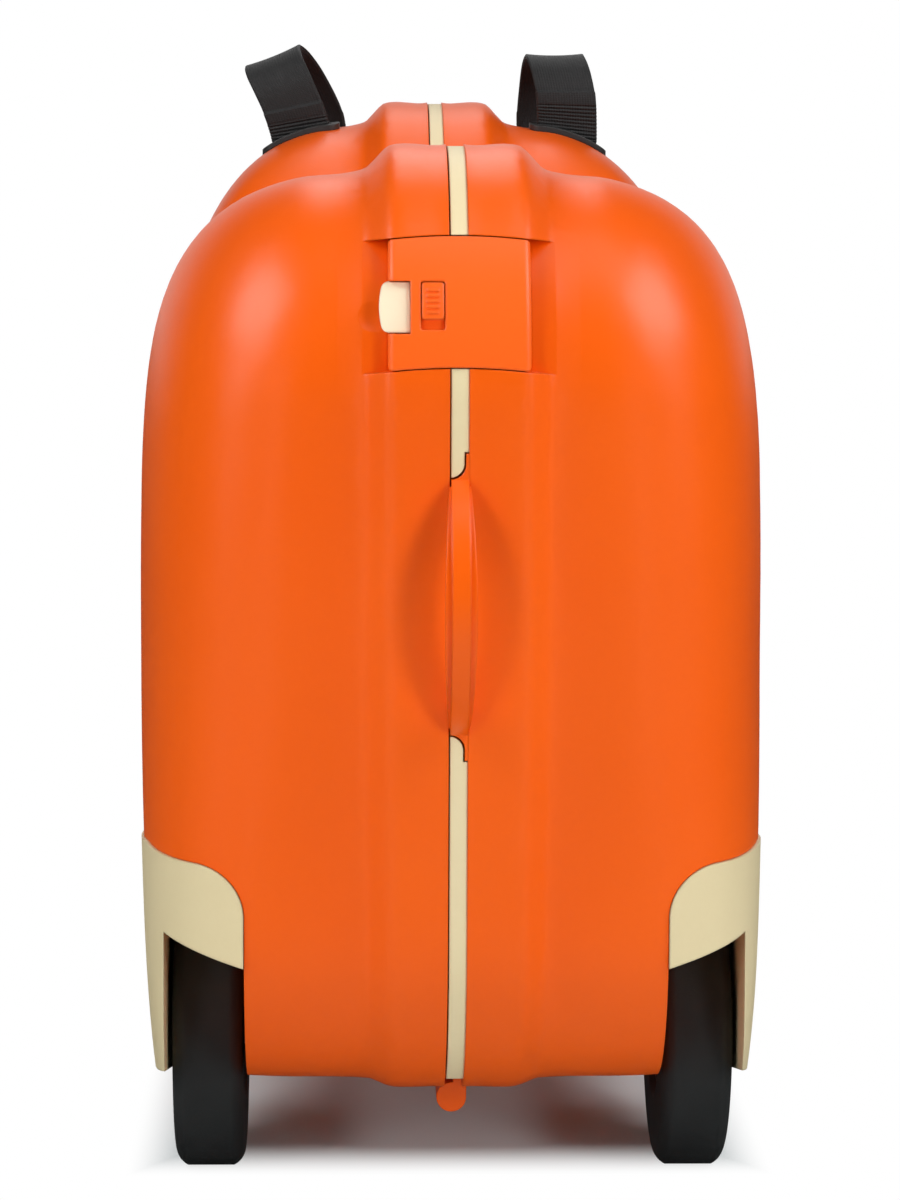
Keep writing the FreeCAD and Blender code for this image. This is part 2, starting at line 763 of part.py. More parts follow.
# Behind the axle the skirt's edge rises to the rear
behind_axle = below_skirt("behind_axle")
behind_axle.Placement = Placement(Vector(), Rotation(Vector(1, 0, 0), -number("housing_rise_angle")))
bind(behind_axle, {"Placement.Rotation.Angle": "-housing_rise_angle"})
bind(behind_axle, {"Placement.Base.y": "rear_axle_y * (1 - cos(housing_rise_angle))"
                                       " - housing_bottom_height * sin(housing_rise_angle)"})
bind(behind_axle, {"Placement.Base.z": "housing_bottom_height * (1 - cos(housing_rise_angle))"
                                       " + rear_axle_y * sin(housing_rise_angle)"})
housing_blank = common("housing_blank", housing_skin, housing_space)

housing_screw_places = [
    ("rear_y + housing_screw_setback", "housing_side_height"),
    ("housing_front_y - housing_front_wall / 2", "rear_wheel_radius + housing_front_wall"),
]
housing_screws = []
housing_holes = []
for place, centre in enumerate(housing_screw_places):
    fastener, hole = screw(f"housing_screw_{place}", "x", "well_inner_x - shell_wall", centre)
    housing_screws.append(fastener)
    housing_holes.append(hole)
screw_holes = fuse("housing_screw_holes", *housing_holes)

right_wheel_housing = cut("right_wheel_housing", housing_blank, wheel_room, rear_window, below_housing,
                          behind_axle, axle_bore, screw_holes)
nodes["right_wheel_housing"] = right_wheel_housing
nodes["left_wheel_housing"] = mirror("left_wheel_housing", right_wheel_housing)
right_housing_screws = group("right_housing_screws", *housing_screws)
nodes["right_housing_screws"] = right_housing_screws
nodes["left_housing_screws"] = mirror("left_housing_screws", right_housing_screws)

# Latch pocket: both shells get a thicker wall on the rear hump, and the band is cut away above it
def latch_outline(name, grow, half_width, span, rounds=None):
    """The cover's outline seen from the rear, with arched top and bottom edges, grown by a gap."""
    arch = f"(cover_arch * (({half_width}) / cover_half_width) ^ 2)"
    low = f"cover_bottom_height - ({grow}) + cover_arch - {arch}"
    high = f"cover_top_height + {grow} + cover_arch - {arch}"
    return prism(name, "y", [
        (f"-({half_width})", low, f"-{arch}"),
        (half_width, low),
        (half_width, high, arch),
        (f"-({half_width})", high),
    ], span, rounds)


def hump_ring(name, inner_radius, outer_radius, x):
    """A ring about the rear hump's axis."""
    hump_centre = ("rear_hump_y", "rear_hump_z")
    disc = cylinder(name + "_disc", "x", outer_radius, x, hump_centre)
    bore = cylinder(name + "_bore", "x", inner_radius, x, hump_centre)
    return cut(name, disc, bore)


pocket_x = "band_half_width + band_run_out + pocket_margin"
behind = ("rear_y - overcut", "rear_hump_y - rear_hump_radius / 2")
floor_outline = latch_outline("floor_outline", "cover_gap + latch_frame", f"{pocket_x} + latch_frame", behind)
latch_block = common("latch_block", floor_outline, outer_skin)
latch_floor = cut("latch_floor", latch_block, pan_skin)
pocket_outline = latch_outline("pocket_outline", "cover_gap", pocket_x, behind)
latch_pocket = cut("latch_pocket", pocket_outline, pocket_skin)
bed_x = "cover_half_width + cover_gap"
bed_ring = hump_ring("bed_ring", "rear_hump_radius", "cover_radius + overcut", (f"-({bed_x})", bed_x))
cover_bed = common("cover_bed", bed_ring, pocket_outline)

# Caster cups in the underside
cup_flange_z = "underside_height - cup_flange_thickness"
cup_outer = "cup_radius + cup_wall"
cup_hole = cylinder("cup_hole", "z", f"{cup_outer} + housing_seat_gap", ("0", "cup_top_z"),
                    ("caster_x", "caster_y"))
cup_screws = []
cup_holes = []
for place, turn in enumerate((120, 240)):
    ring_radius = f"({cup_outer} + cup_flange / 2)"
    centre = (f"caster_x + {ring_radius} * cos({turn}deg)", f"caster_y + {ring_radius} * sin({turn}deg)")
    fastener, hole = screw(f"caster_screw_{place}", "z", cup_flange_z, centre)
    cup_screws.append(fastener)
    cup_holes.append(hole)
cup_screw_holes = fuse("cup_screw_holes", *cup_holes)
cup_blank = turned("cup_blank", "z", [
    (cup_flange_z, "cup_radius"),
    (cup_flange_z, f"{cup_outer} + cup_flange"),
    ("underside_height", f"{cup_outer} + cup_flange"),
    ("underside_height", cup_outer),
    ("cup_roof_z + cup_ceiling", cup_outer),
    ("cup_roof_z + cup_ceiling", "cup_boss_radius"),
    ("cup_top_z", "cup_boss_radius"),
    ("cup_top_z", "stem_radius + running_gap"),
    ("cup_roof_z", "stem_radius + running_gap"),
    ("cup_roof_z", "cup_radius"),
], ("caster_x", "caster_y", "0"))
right_caster_cup = cut("right_caster_cup", cup_blank, cup_screw_holes)
nodes["right_caster_cup"] = right_caster_cup
nodes["left_caster_cup"] = mirror("left_caster_cup", right_caster_cup)
right_caster_screws = group("right_caster_screws", *cup_screws)
nodes["right_caster_screws"] = right_caster_screws
nodes["left_caster_screws"] = mirror("left_caster_screws", right_caster_screws)

# Webbing loops, with flanges on the shell and clamps under it
strap_x = ("strap_x - strap_width / 2", "strap_x + strap_width / 2")
strap_half = "strap_thickness / 2"
leg_top = f"strap_top_height - strap_crown - {strap_half}"


def toed(name, piece):
    """A strap's piece turned about the loop's middle, so that its far leg stands further in."""
    turned_piece = group(name, piece)
    turned_piece.Placement = Placement(Vector(), Rotation(Vector(0, 0, 1), number("strap_toe")))
    bind(turned_piece, {"Placement.Rotation.Angle": "strap_toe"})
    bind(turned_piece, {"Placement.Base.x": "strap_x * (1 - cos(strap_toe)) + strap_mid_y * sin(strap_toe)"})
    bind(turned_piece, {"Placement.Base.y": "strap_mid_y * (1 - cos(strap_toe)) - strap_x * sin(strap_toe)"})
    return turned_piece


strap_path = prism("strap_path", "x", [
    (f"strap_near_y - {strap_half}", "strap_root_height"),
    (f"strap_near_y + {strap_half}", "strap_root_height"),
    (f"strap_near_y + {strap_half}", leg_top, f"-(strap_crown - {strap_half})"),
    (f"strap_far_y - {strap_half}", leg_top),
    (f"strap_far_y - {strap_half}", "strap_root_height"),
    (f"strap_far_y + {strap_half}", "strap_root_height"),
    (f"strap_far_y + {strap_half}", leg_top, f"strap_crown + {strap_half}"),
    (f"strap_near_y - {strap_half}", leg_top),
], strap_x)
right_strap_loop = toed("right_strap_loop", strap_path)
nodes["right_strap_loop"] = right_strap_loop
nodes["left_strap_loop"] = mirror("left_strap_loop", right_strap_loop)

strap_slots = []
flange_blocks = []
for place, leg_y in (("near", "strap_near_y"), ("far", "strap_far_y")):
    slot_half = f"({strap_half} + strap_slot_gap)"
    slot_x = (f"{strap_x[0]} - strap_slot_gap", f"{strap_x[1]} + strap_slot_gap")
    slot_y = (f"{leg_y} - {slot_half}", f"{leg_y} + {slot_half}")
    strap_slots.append(box(f"{place}_strap_slot", slot_x, slot_y, ("strap_root_height", "strap_top_height")))
    flange_x = (f"{strap_x[0]} - strap_flange_margin", f"{strap_x[1]} + strap_flange_margin")
    flange_y = (f"{leg_y} - strap_flange_depth", f"{leg_y} + strap_flange_depth")
    flange_blocks.append(prism(f"{place}_flange_block", "z", [
        (flange_x[0], flange_y[0]),
        (flange_x[1], flange_y[0]),
        (flange_x[1], flange_y[1]),
        (flange_x[0], flange_y[1]),
    ], ("strap_root_height", "strap_top_height"), {corner: "strap_flange_corner" for corner in range(4)}))
both_slots = toed("strap_slots", fuse("square_slots", *strap_slots))
both_blocks = toed("flange_blocks", fuse("square_blocks", *flange_blocks))


def shifted(name, source, lift):
    """A copy of a skin, moved up by a formula."""
    copy = doc.addObject("Part::Feature", name)
    copy.Shape = source.Shape.copy()
    bind(copy, {"Placement.Base.z": lift})
    return copy


raised_skin = shifted("raised_skin", outer_skin, "strap_flange_thickness")
flange_layer = common("flange_layer", raised_skin, both_blocks)
right_strap_flanges = cut("right_strap_flanges", flange_layer, outer_skin, both_slots)
nodes["right_strap_flanges"] = right_strap_flanges
nodes["left_strap_flanges"] = mirror("left_strap_flanges", right_strap_flanges)
lowered_skin = shifted("lowered_skin", inner_skin, "-strap_flange_thickness")
clamp_layer = common("clamp_layer", inner_skin, both_blocks)
right_strap_clamps = cut("right_strap_clamps", clamp_layer, lowered_skin, both_slots)
nodes["right_strap_clamps"] = right_strap_clamps
nodes["left_strap_clamps"] = mirror("left_strap_clamps", right_strap_clamps)

# The half shells, alike at first
half_wall = cut("half_wall", outer_skin, inner_skin)
half_body = fuse("half_body", half_wall, well_walls, latch_floor, axle_boss)
half_shell = cut("half_shell", half_body, well_space, wheel_room, axle_bore, screw_holes,
                 latch_pocket, cover_bed, cup_hole, cup_screw_holes, both_slots)

# Hinge along the bottom of the seam, with knuckles on the two shells in turn
KNUCKLES = 7
hinge_places = ("0", "hinge_z")
hinge_start = "rear_y + hinge_setback + knuckle_gap / 2 + hinge_end_wall"
hinge_bore = cylinder("hinge_bore", "y", "hinge_pin_radius + running_gap", (hinge_start, "front_y"),
                      hinge_places)
knuckles = {"right": [], "left": []}
for place in range(KNUCKLES):
    side = "right" if place % 2 == 0 else "left"
    start = f"rear_y + hinge_setback + {place} * knuckle_pitch + knuckle_gap / 2"
    stretch = (start, f"{start} + knuckle_pitch - knuckle_gap")
    barrel = cylinder(f"knuckle_barrel_{place}", "y", "hinge_radius", stretch, hinge_places)
    web_x = ("hinge_web_gap", "hinge_web_width")
    if side == "left":
        web_x = ("-hinge_web_width", "-hinge_web_gap")
    web = box(f"knuckle_web_{place}", web_x, stretch, ("hinge_z", "band_floor_z + shell_wall / 2"))
    knuckles[side] += [barrel, web]
nodes["hinge_pin"] = cylinder("hinge_pin", "y", "hinge_pin_radius",
                              (hinge_start, "front_y - hinge_setback - knuckle_gap / 2"),
                              hinge_places)
seam_tongue = box("seam_tongue", ("strip_left_x", "rim_x + shell_wall"),
                  ("rear_y + foot_radius", "front_y - foot_radius"),
                  ("band_floor_z + shell_wall / 2", "band_floor_z + shell_wall / 2 + tongue_thickness"))

# Carry handle: a bow in the seam, with a root that is screwed to bosses on the right shell
bow_outer = cylinder("bow_outer", "x", "bow_radius", ("strip_left_x", "rim_x"),
                     ("band_rear_y - handle_reach + bow_radius", "handle_middle_height"))
bow_inner = cylinder("bow_inner", "x", "bow_inner_radius", ("strip_left_x", "rim_x"),
                     ("band_rear_y - handle_clear + bow_inner_radius", "handle_middle_height"))
bow_front = box("bow_front", ("strip_left_x", "rim_x"), ("band_rear_y", "rear_hump_y"),
                ("handle_low_z - handle_span", "handle_high_z + handle_span"))
bow = cut("bow", bow_outer, bow_inner, bow_front)
grip_x = ("handle_mid_x - grip_width / 2", "handle_mid_x + grip_width / 2")
grip_outer = cylinder("grip_outer", "x", "bow_radius - grip_sink", grip_x,
                      ("band_rear_y - handle_reach + bow_radius", "handle_middle_height"))
grip_inner = cylinder("grip_inner", "x", "bow_inner_radius + grip_sink", grip_x,
                      ("band_rear_y - handle_clear + bow_inner_radius", "handle_middle_height"))
grip_ring = cut("grip_ring", grip_outer, grip_inner)
grip_bulge = "-(grip_width - grip_end_width) / 2"
grip_zone = prism("grip_zone", "y", [
    ("handle_mid_x - grip_end_width / 2", "handle_low_z", grip_bulge),
    ("handle_mid_x - grip_end_width / 2", "handle_high_z"),
    ("handle_mid_x + grip_end_width / 2", "handle_high_z", grip_bulge),
    ("handle_mid_x + grip_end_width / 2", "handle_low_z"),
], ("band_rear_y - handle_reach - overcut", "band_rear_y - handle_side_gap"))
grip = common("grip", grip_ring, grip_zone)


def root_outline(name, left, right, grow, span):
    """The handle's root seen from the rear: the strip's ends nest in a notch beside a thin sliver."""
    notch_bulge = f"{QUARTER_BULGE} * handle_notch"
    edge = f"sliver_x - {grow}"
    low, high = f"handle_low_z - {grow}", f"handle_high_z + {grow}"
    return prism(name, "y", [
        (left, low),
        (left, high, notch_bulge),
        (edge, f"{high} + handle_notch"),
        (edge, f"{high} + handle_overhang"),
        (right, f"{high} + handle_overhang"),
        (right, f"{low} - handle_overhang"),
        (edge, f"{low} - handle_overhang"),
        (edge, f"{low} - handle_notch", notch_bulge),
    ], span)


handle_root = root_outline("handle_root", "strip_left_x", "rim_x", "0",
                           ("band_rear_y", "band_rear_y + handle_boss_depth"))
handle_screws = []
handle_holes = []
handle_bosses = []
for place, low in enumerate(("handle_low_z", "handle_high_z - handle_boss_height")):
    centre = ("band_rear_y + handle_boss_depth - handle_screw_inset", f"{low} + handle_boss_height / 2")
    fastener, hole = screw(f"handle_screw_{place}", "x", "rim_x + handle_boss_width", centre, points_up=False)
    handle_screws.append(fastener)
    handle_holes.append(hole)
    handle_bosses.append(box(f"handle_boss_{place}", ("rim_x", "rim_x + handle_boss_width"),
                             ("band_rear_y + shell_wall / 2", "band_rear_y + handle_boss_depth"),
                             (low, f"{low} + handle_boss_height")))
handle_screw_holes = fuse("handle_screw_holes", *handle_holes)
handle_blank = fuse("handle_blank", bow, grip, handle_root)
nodes["carry_handle"] = cut("carry_handle", handle_blank, handle_screw_holes)
nodes["handle_screws"] = group("handle_screws", *handle_screws)

# Seam strip, open at the bottom, cut back for the latch and the handle
strip_ring = seam_ring("strip_ring", "strip_recess", "strip_depth", ("strip_left_x", "rim_x"))
strip_opening = box("strip_opening", ("-seam_gap", "seam_gap"), ("rear_y - overcut", "front_y + overcut"),
                    ("0", "strip_end_height"))
strip_latch_ring = hump_ring("strip_latch_ring", "rear_hump_radius - latch_clearance",
                             "cover_radius + overcut", ("-seam_gap", "seam_gap"))
strip_latch = common("strip_latch", strip_latch_ring, pocket_outline)
strip_handle = root_outline("strip_handle", "-rim_x", "seam_gap", "handle_side_gap",
                            ("band_rear_y - overcut", "rear_hump_y"))
nodes["seam_strip"] = cut("seam_strip", strip_ring, strip_opening, strip_latch, strip_handle)

# Right shell
right_blank = fuse("right_blank", half_shell, seam_tongue, *knuckles["right"], *handle_bosses)
right_shell = cut("right_shell", right_blank, hinge_bore, handle_screw_holes)
nodes["right_shell"] = right_shell

# Left shell, with a scoop for the thumb beside the button and holes for the cover's screws
post_screws = []
post_holes = []
posts = []
for place, angle in (("low", "post_low_angle"), ("high", "post_high_angle")):
    seat = "rear_hump_radius - latch_floor"
    fastener = turned(f"{place}_post_screw", "z", [
        (f"{seat} - screw_head_height", "0"),
        (f"{seat} - screw_head_height", "screw_head_radius"),
        (seat, "screw_head_radius"),
        (seat, "screw_radius"),
        ("cover_under_radius - cover_skin", "screw_radius"),
        ("cover_under_radius - cover_skin", "0"),
    ], ("post_x", "rear_hump_y", "rear_hump_z"))
    hole = turned(f"{place}_post_hole", "z", [
        (f"{seat} - latch_floor", "0"),
        (f"{seat} - latch_floor", "screw_head_radius + latch_clearance"),
        (seat, "screw_head_radius + latch_clearance"),
        (seat, "screw_hole_radius"),
        ("cover_under_radius - cover_skin", "screw_hole_radius"),
        ("cover_under_radius - cover_skin", "0"),
    ], ("post_x", "rear_hump_y", "rear_hump_z"))
    post = turned(f"{place}_post", "z", [
        ("rear_hump_radius + running_gap", "0"),
        ("rear_hump_radius + running_gap", "post_radius"),
        ("cover_under_radius + cover_skin / 2", "post_radius"),
        ("cover_under_radius + cover_skin / 2", "0"),
    ], ("post_x", "rear_hump_y", "rear_hump_z"))
    post_screws.append(on_latch(fastener, angle))
    post_holes.append(on_latch(hole, angle))
    posts.append(on_latch(post, angle))
nodes["latch_screws"] = group("latch_screws", *post_screws)

scoop = doc.addObject("Part::Sphere", "scoop")
scoop_centre = "(rear_hump_radius + scoop_radius - scoop_depth)"
bind(scoop, {"Radius": "scoop_radius", "Placement.Base.x": "scoop_x"})
bind(scoop, {"Placement.Base.y": f"rear_hump_y - {scoop_centre} * cos(latch_angle)"})
bind(scoop, {"Placement.Base.z": f"rear_hump_z + {scoop_centre} * sin(latch_angle)"})
left_half = mirror("left_half", half_shell)
left_blank = fuse("left_blank", left_half, *knuckles["left"])
nodes["left_shell"] = cut("left_shell", left_blank, hinge_bore, scoop, *post_holes)

# Latch cover on the left shell, reaching over the seam
cover_ring = turned("cover_ring", "x", [
    ("-cover_half_width", "rear_hump_radius + latch_clearance"),
    ("-cover_half_width", "cover_radius - cover_edge", f"-{QUARTER_BULGE} * cover_edge"),
    ("cover_edge - cover_half_width", "cover_radius"),
    ("cover_half_width - cover_edge", "cover_radius", f"-{QUARTER_BULGE} * cover_edge"),
    ("cover_half_width", "cover_radius - cover_edge"),
    ("cover_half_width", "rear_hump_radius + latch_clearance"),
], ("0", "rear_hump_y", "rear_hump_z"))
cover_rounds = {corner: "cover_corner" for corner in range(4)}
cover_outline = latch_outline("cover_outline", "0", "cover_half_width", behind, cover_rounds)
cover_solid = common("cover_solid", cover_ring, cover_outline)
hollow_x = "(cover_half_width - cover_wall)"
hollow_ring = hump_ring("hollow_ring", "rear_hump_radius - latch_floor", "cover_under_radius",
                        (f"-{hollow_x}", hollow_x))
hollow_outline = latch_outline("hollow_outline", "-cover_wall", hollow_x, behind)
cover_hollow = common("cover_hollow", hollow_ring, hollow_outline)
# The right wall stays clear of the keeper that it swings over
keeper_x = ("rim_x", "cover_half_width + overcut")
keeper_way = hump_ring("keeper_way", "rear_hump_radius - latch_floor", "hook_floor_radius", keeper_x)
keeper_lane = box("keeper_lane", keeper_x, behind,
                  ("cover_bottom_height + cover_wall", "cover_top_height - cover_wall"))
keeper_clear = common("keeper_clear", keeper_way, keeper_lane)
button_z = ("button_middle_height - button_height / 2", "button_middle_height + button_height / 2")
button_notch = box("button_notch", ("-cover_half_width - overcut", "button_inner_x"), behind,
                   (f"{button_z[0]} - latch_clearance", f"{button_z[1]} + latch_clearance"))
slider_x = ("slider_centre_x - slider_width / 2", "slider_centre_x + slider_width / 2")
slider_z = ("slider_top_height - slider_length", "slider_top_height")


def slider_outline(name, grow, below):
    """The slider's plate seen from the rear, grown by a gap and lengthened downwards."""
    low = f"{slider_z[0]} - {grow} - {below}"
    high = f"{slider_z[1]} + {grow}"
    return prism(name, "y", [
        (f"{slider_x[0]} - {grow}", low),
        (f"{slider_x[1]} + {grow}", low),
        (f"{slider_x[1]} + {grow}", high),
        (f"{slider_x[0]} - {grow}", high),
    ], behind, {corner: "slider_corner" for corner in range(4)})


slider_slot = slider_outline("slider_slot", "latch_clearance", "slider_travel")
hook_half = "hook_width / 2"
lug_gap = f"({hook_half} + latch_clearance)"
hook_lugs = []
for place, ends in enumerate(((f"-{lug_gap} - hook_lug", f"-{lug_gap}"), (lug_gap, f"{lug_gap} + hook_lug"))):
    lug = prism(f"hook_lug_{place}", "x", [
        (ends[0], "hook_pivot_radius - 2 * hook_pin_radius"),
        (ends[1], "hook_pivot_radius - 2 * hook_pin_radius"),
        (ends[1], "cover_under_radius + cover_skin / 2"),
        (ends[0], "cover_under_radius + cover_skin / 2"),
    ], ("hook_pivot_x - 2 * hook_pin_radius", "hook_pivot_x + 2 * hook_pin_radius"))
    hook_lugs.append(on_latch(lug, "latch_angle"))


def hook_rod(name, radius, half_length):
    """A rod along the hook's pivot, in the latch's own frame."""
    rod = turned(name, "x", [
        (f"-({half_length})", "0"),
        (f"-({half_length})", radius),
        (half_length, radius),
        (half_length, "0"),
    ], ("0", "0", "0"))
    lean = Rotation(Vector(1, 0, 0), 90 - number("latch_angle"))
    rod.Placement.Rotation = lean * Rotation(Vector(0, 0, 1), 90)
    bind(rod, {"Placement.Base.x": "hook_pivot_x"})
    bind(rod, {"Placement.Base.y": "rear_hump_y - hook_pivot_radius * cos(latch_angle)"})
    bind(rod, {"Placement.Base.z": "rear_hump_z + hook_pivot_radius * sin(latch_angle)"})
    return rod


pin_half = f"{lug_gap} + hook_lug"
nodes["hook_pin"] = hook_rod("hook_pin", "hook_pin_radius", pin_half)
pin_bore = hook_rod("pin_bore", "hook_pin_radius + running_gap", f"{pin_half} + 1")
cover_shell = cut("cover_shell", cover_solid, cover_hollow, keeper_clear)
cover_blank = fuse("cover_blank", cover_shell, *posts, *hook_lugs)
nodes["latch_cover"] = cut("latch_cover", cover_blank, button_notch, slider_slot, *post_holes, pin_bore)

# Release button: a cream head at the cover's left edge and a tail that presses the hook's heel
head_ring = hump_ring("head_ring", "rear_hump_radius + 2 * latch_clearance", "button_top_radius",
                      ("-cover_half_width - overcut", "0"))
head_outline = prism("head_outline", "y", [
    ("-cover_half_width - button_overhang", button_z[1], "button_bulge"),
    ("-cover_half_width - button_overhang", button_z[0]),
    ("button_inner_x + button_lap", button_z[0]),
    ("button_inner_x + button_lap", button_z[1]),
], behind, {0: "button_corner", 1: "button_corner"})
button_head = common("button_head", head_ring, head_outline)
button_tail = on_latch(prism("button_tail", "x", [
    ("-button_tail_width / 2", "tail_floor_radius"),
    ("button_tail_width / 2", "tail_floor_radius"),
    ("button_tail_width / 2", "tail_top_radius"),
    ("-button_tail_width / 2", "tail_top_radius"),
], ("button_inner_x", "button_inner_x + button_tail_length")), "latch_angle")
nodes["release_button"] = fuse("release_button", button_head, button_tail)

# Latch hook and its keeper on the right shell
hook_blank = on_latch(prism("hook_blank", "y", [
    ("hook_heel_x", "heel_floor_radius"),
    ("hook_pivot_x", "heel_floor_radius"),
    ("hook_pivot_x + hook_nose", "hook_floor_radius + hook_layer / 2"),
    ("hook_tip_x - hook_nose", "hook_floor_radius + hook_layer / 2"),
    ("hook_tip_x - hook_nose", "hook_floor_radius"),
    ("hook_tip_x", "hook_floor_radius"),
    ("hook_tip_x", "tail_top_radius"),
    ("hook_pivot_x - 2 * hook_pin_radius", "tail_top_radius"),
    ("hook_pivot_x - 2 * hook_pin_radius", "heel_top_radius"),
    ("hook_heel_x", "heel_top_radius"),
], (f"-{hook_half}", hook_half)), "latch_angle")
nodes["latch_hook"] = cut("latch_hook", hook_blank, pin_bore)
nodes["latch_keeper"] = on_latch(prism("latch_keeper", "y", [
    ("keeper_right_x - keeper_width", "rear_hump_radius"),
    ("keeper_right_x", "rear_hump_radius"),
    ("keeper_right_x", "keeper_top_radius"),
    ("keeper_right_x - keeper_width", "keeper_top_radius"),
], (f"-{hook_half}", hook_half)), "latch_angle")

# Lock slider, held under the cover by a flange, with ribs for the thumb
flange_ring = hump_ring("flange_ring", "slider_floor_radius", "button_top_radius", ("-cover_half_width", "0"))
flange_x = (f"{slider_x[0]} - slider_flange", f"{slider_x[1]} + slider_flange")
flange_block = box("flange_block", flange_x, behind,
                   (f"{slider_z[0]} - slider_travel - 2 * slider_flange",
                    f"{slider_z[1]} + slider_travel + slider_flange"))
plate_ring = hump_ring("plate_ring", "slider_floor_radius", "cover_radius + slider_rise",
                       ("-cover_half_width", "0"))
plate_block = slider_outline("plate_block", "0", "0")
RIBS = 5
ribs = []
rib_x = (f"{slider_x[0]} + rib_inset", f"{slider_x[1]} - rib_inset")
for place in range(RIBS):
    rib_middle = f"(slider_top_height - slider_length / 2 + ({place} - {(RIBS - 1) / 2}) * rib_spacing)"
    ribs.append(box(f"rib_block_{place}", rib_x, behind,
                    (f"{rib_middle} - rib_spacing / 4", f"{rib_middle} + rib_spacing / 4")))
rib_blocks = fuse("rib_blocks", *ribs)
rib_ring = hump_ring("rib_ring", "slider_floor_radius", "cover_radius + slider_rise + rib_height",
                     ("-cover_half_width", "0"))
slider_parts = [
    common("slider_flange", flange_ring, flange_block),
    common("slider_plate", plate_ring, plate_block),
    common("slider_ribs", rib_ring, rib_blocks),
]
nodes["lock_slider"] = fuse("lock_slider", *slider_parts)

# Rear wheels
for side, sign in (("right", ""), ("left", "-")):
    centre = (f"{sign}rear_wheel_x", "rear_axle_y", "rear_wheel_radius")
    half_tyre = "rear_wheel_width / 2"
    tyre = turned(f"{side}_rear_tyre", "x", [
        (f"-{half_tyre} + bush_wall", "rear_rim_radius"),
        (f"-{half_tyre}", "rear_rim_radius + bush_wall"),
        (f"-{half_tyre}", "rear_wheel_radius - rear_shoulder", "-rear_shoulder_bulge"),
        ("-rear_tread_width / 2", "rear_wheel_radius"),
        ("rear_tread_width / 2", "rear_wheel_radius", "-rear_shoulder_bulge"),
        (half_tyre, "rear_wheel_radius - rear_shoulder"),
        (half_tyre, "rear_rim_radius + bush_wall"),
        (f"{half_tyre} - bush_wall", "rear_rim_radius"),
    ], centre)
    nodes[f"{side}_rear_tyre"] = tyre
    bush_radius = "rear_axle_radius + running_gap + bush_wall"
    hub_half = f"({half_tyre} - bush_wall)"
    nodes[f"{side}_rear_hub"] = turned(f"{side}_rear_hub", "x", [
        (f"-{half_tyre}", bush_radius),
        (f"-{half_tyre}", "rear_boss_radius"),
        ("-rear_web_width / 2", "rear_boss_radius + bush_wall"),
        ("-rear_web_width / 2", "rear_rim_radius - 2 * bush_wall"),
        (f"-{hub_half}", "rear_rim_radius - bush_wall"),
        (f"-{hub_half}", "rear_rim_radius"),
        (hub_half, "rear_rim_radius"),
        (hub_half, "rear_rim_radius - bush_wall"),
        ("rear_web_width / 2", "rear_rim_radius - 2 * bush_wall"),
        ("rear_web_width / 2", "rear_boss_radius + bush_wall"),
        (half_tyre, "rear_boss_radius"),
        (half_tyre, bush_radius),
    ], centre)
    nodes[f"{side}_rear_bush"] = turned(f"{side}_rear_bush", "x", [
        (f"-{half_tyre}", "rear_axle_radius + running_gap"),
        (f"-{half_tyre}", bush_radius),
        (half_tyre, bush_radius),
        (half_tyre, "rear_axle_radius + running_gap"),
    ], centre)
    axle_ends = ["well_inner_x - axle_boss_length + shell_wall", "skirt_x + axle_skirt_hold"]
    if side == "left":
        axle_ends = [f"-({end})" for end in reversed(axle_ends)]
    nodes[f"{side}_rear_axle"] = cylinder(f"{side}_rear_axle", "x", "rear_axle_radius", axle_ends, centre[1:])

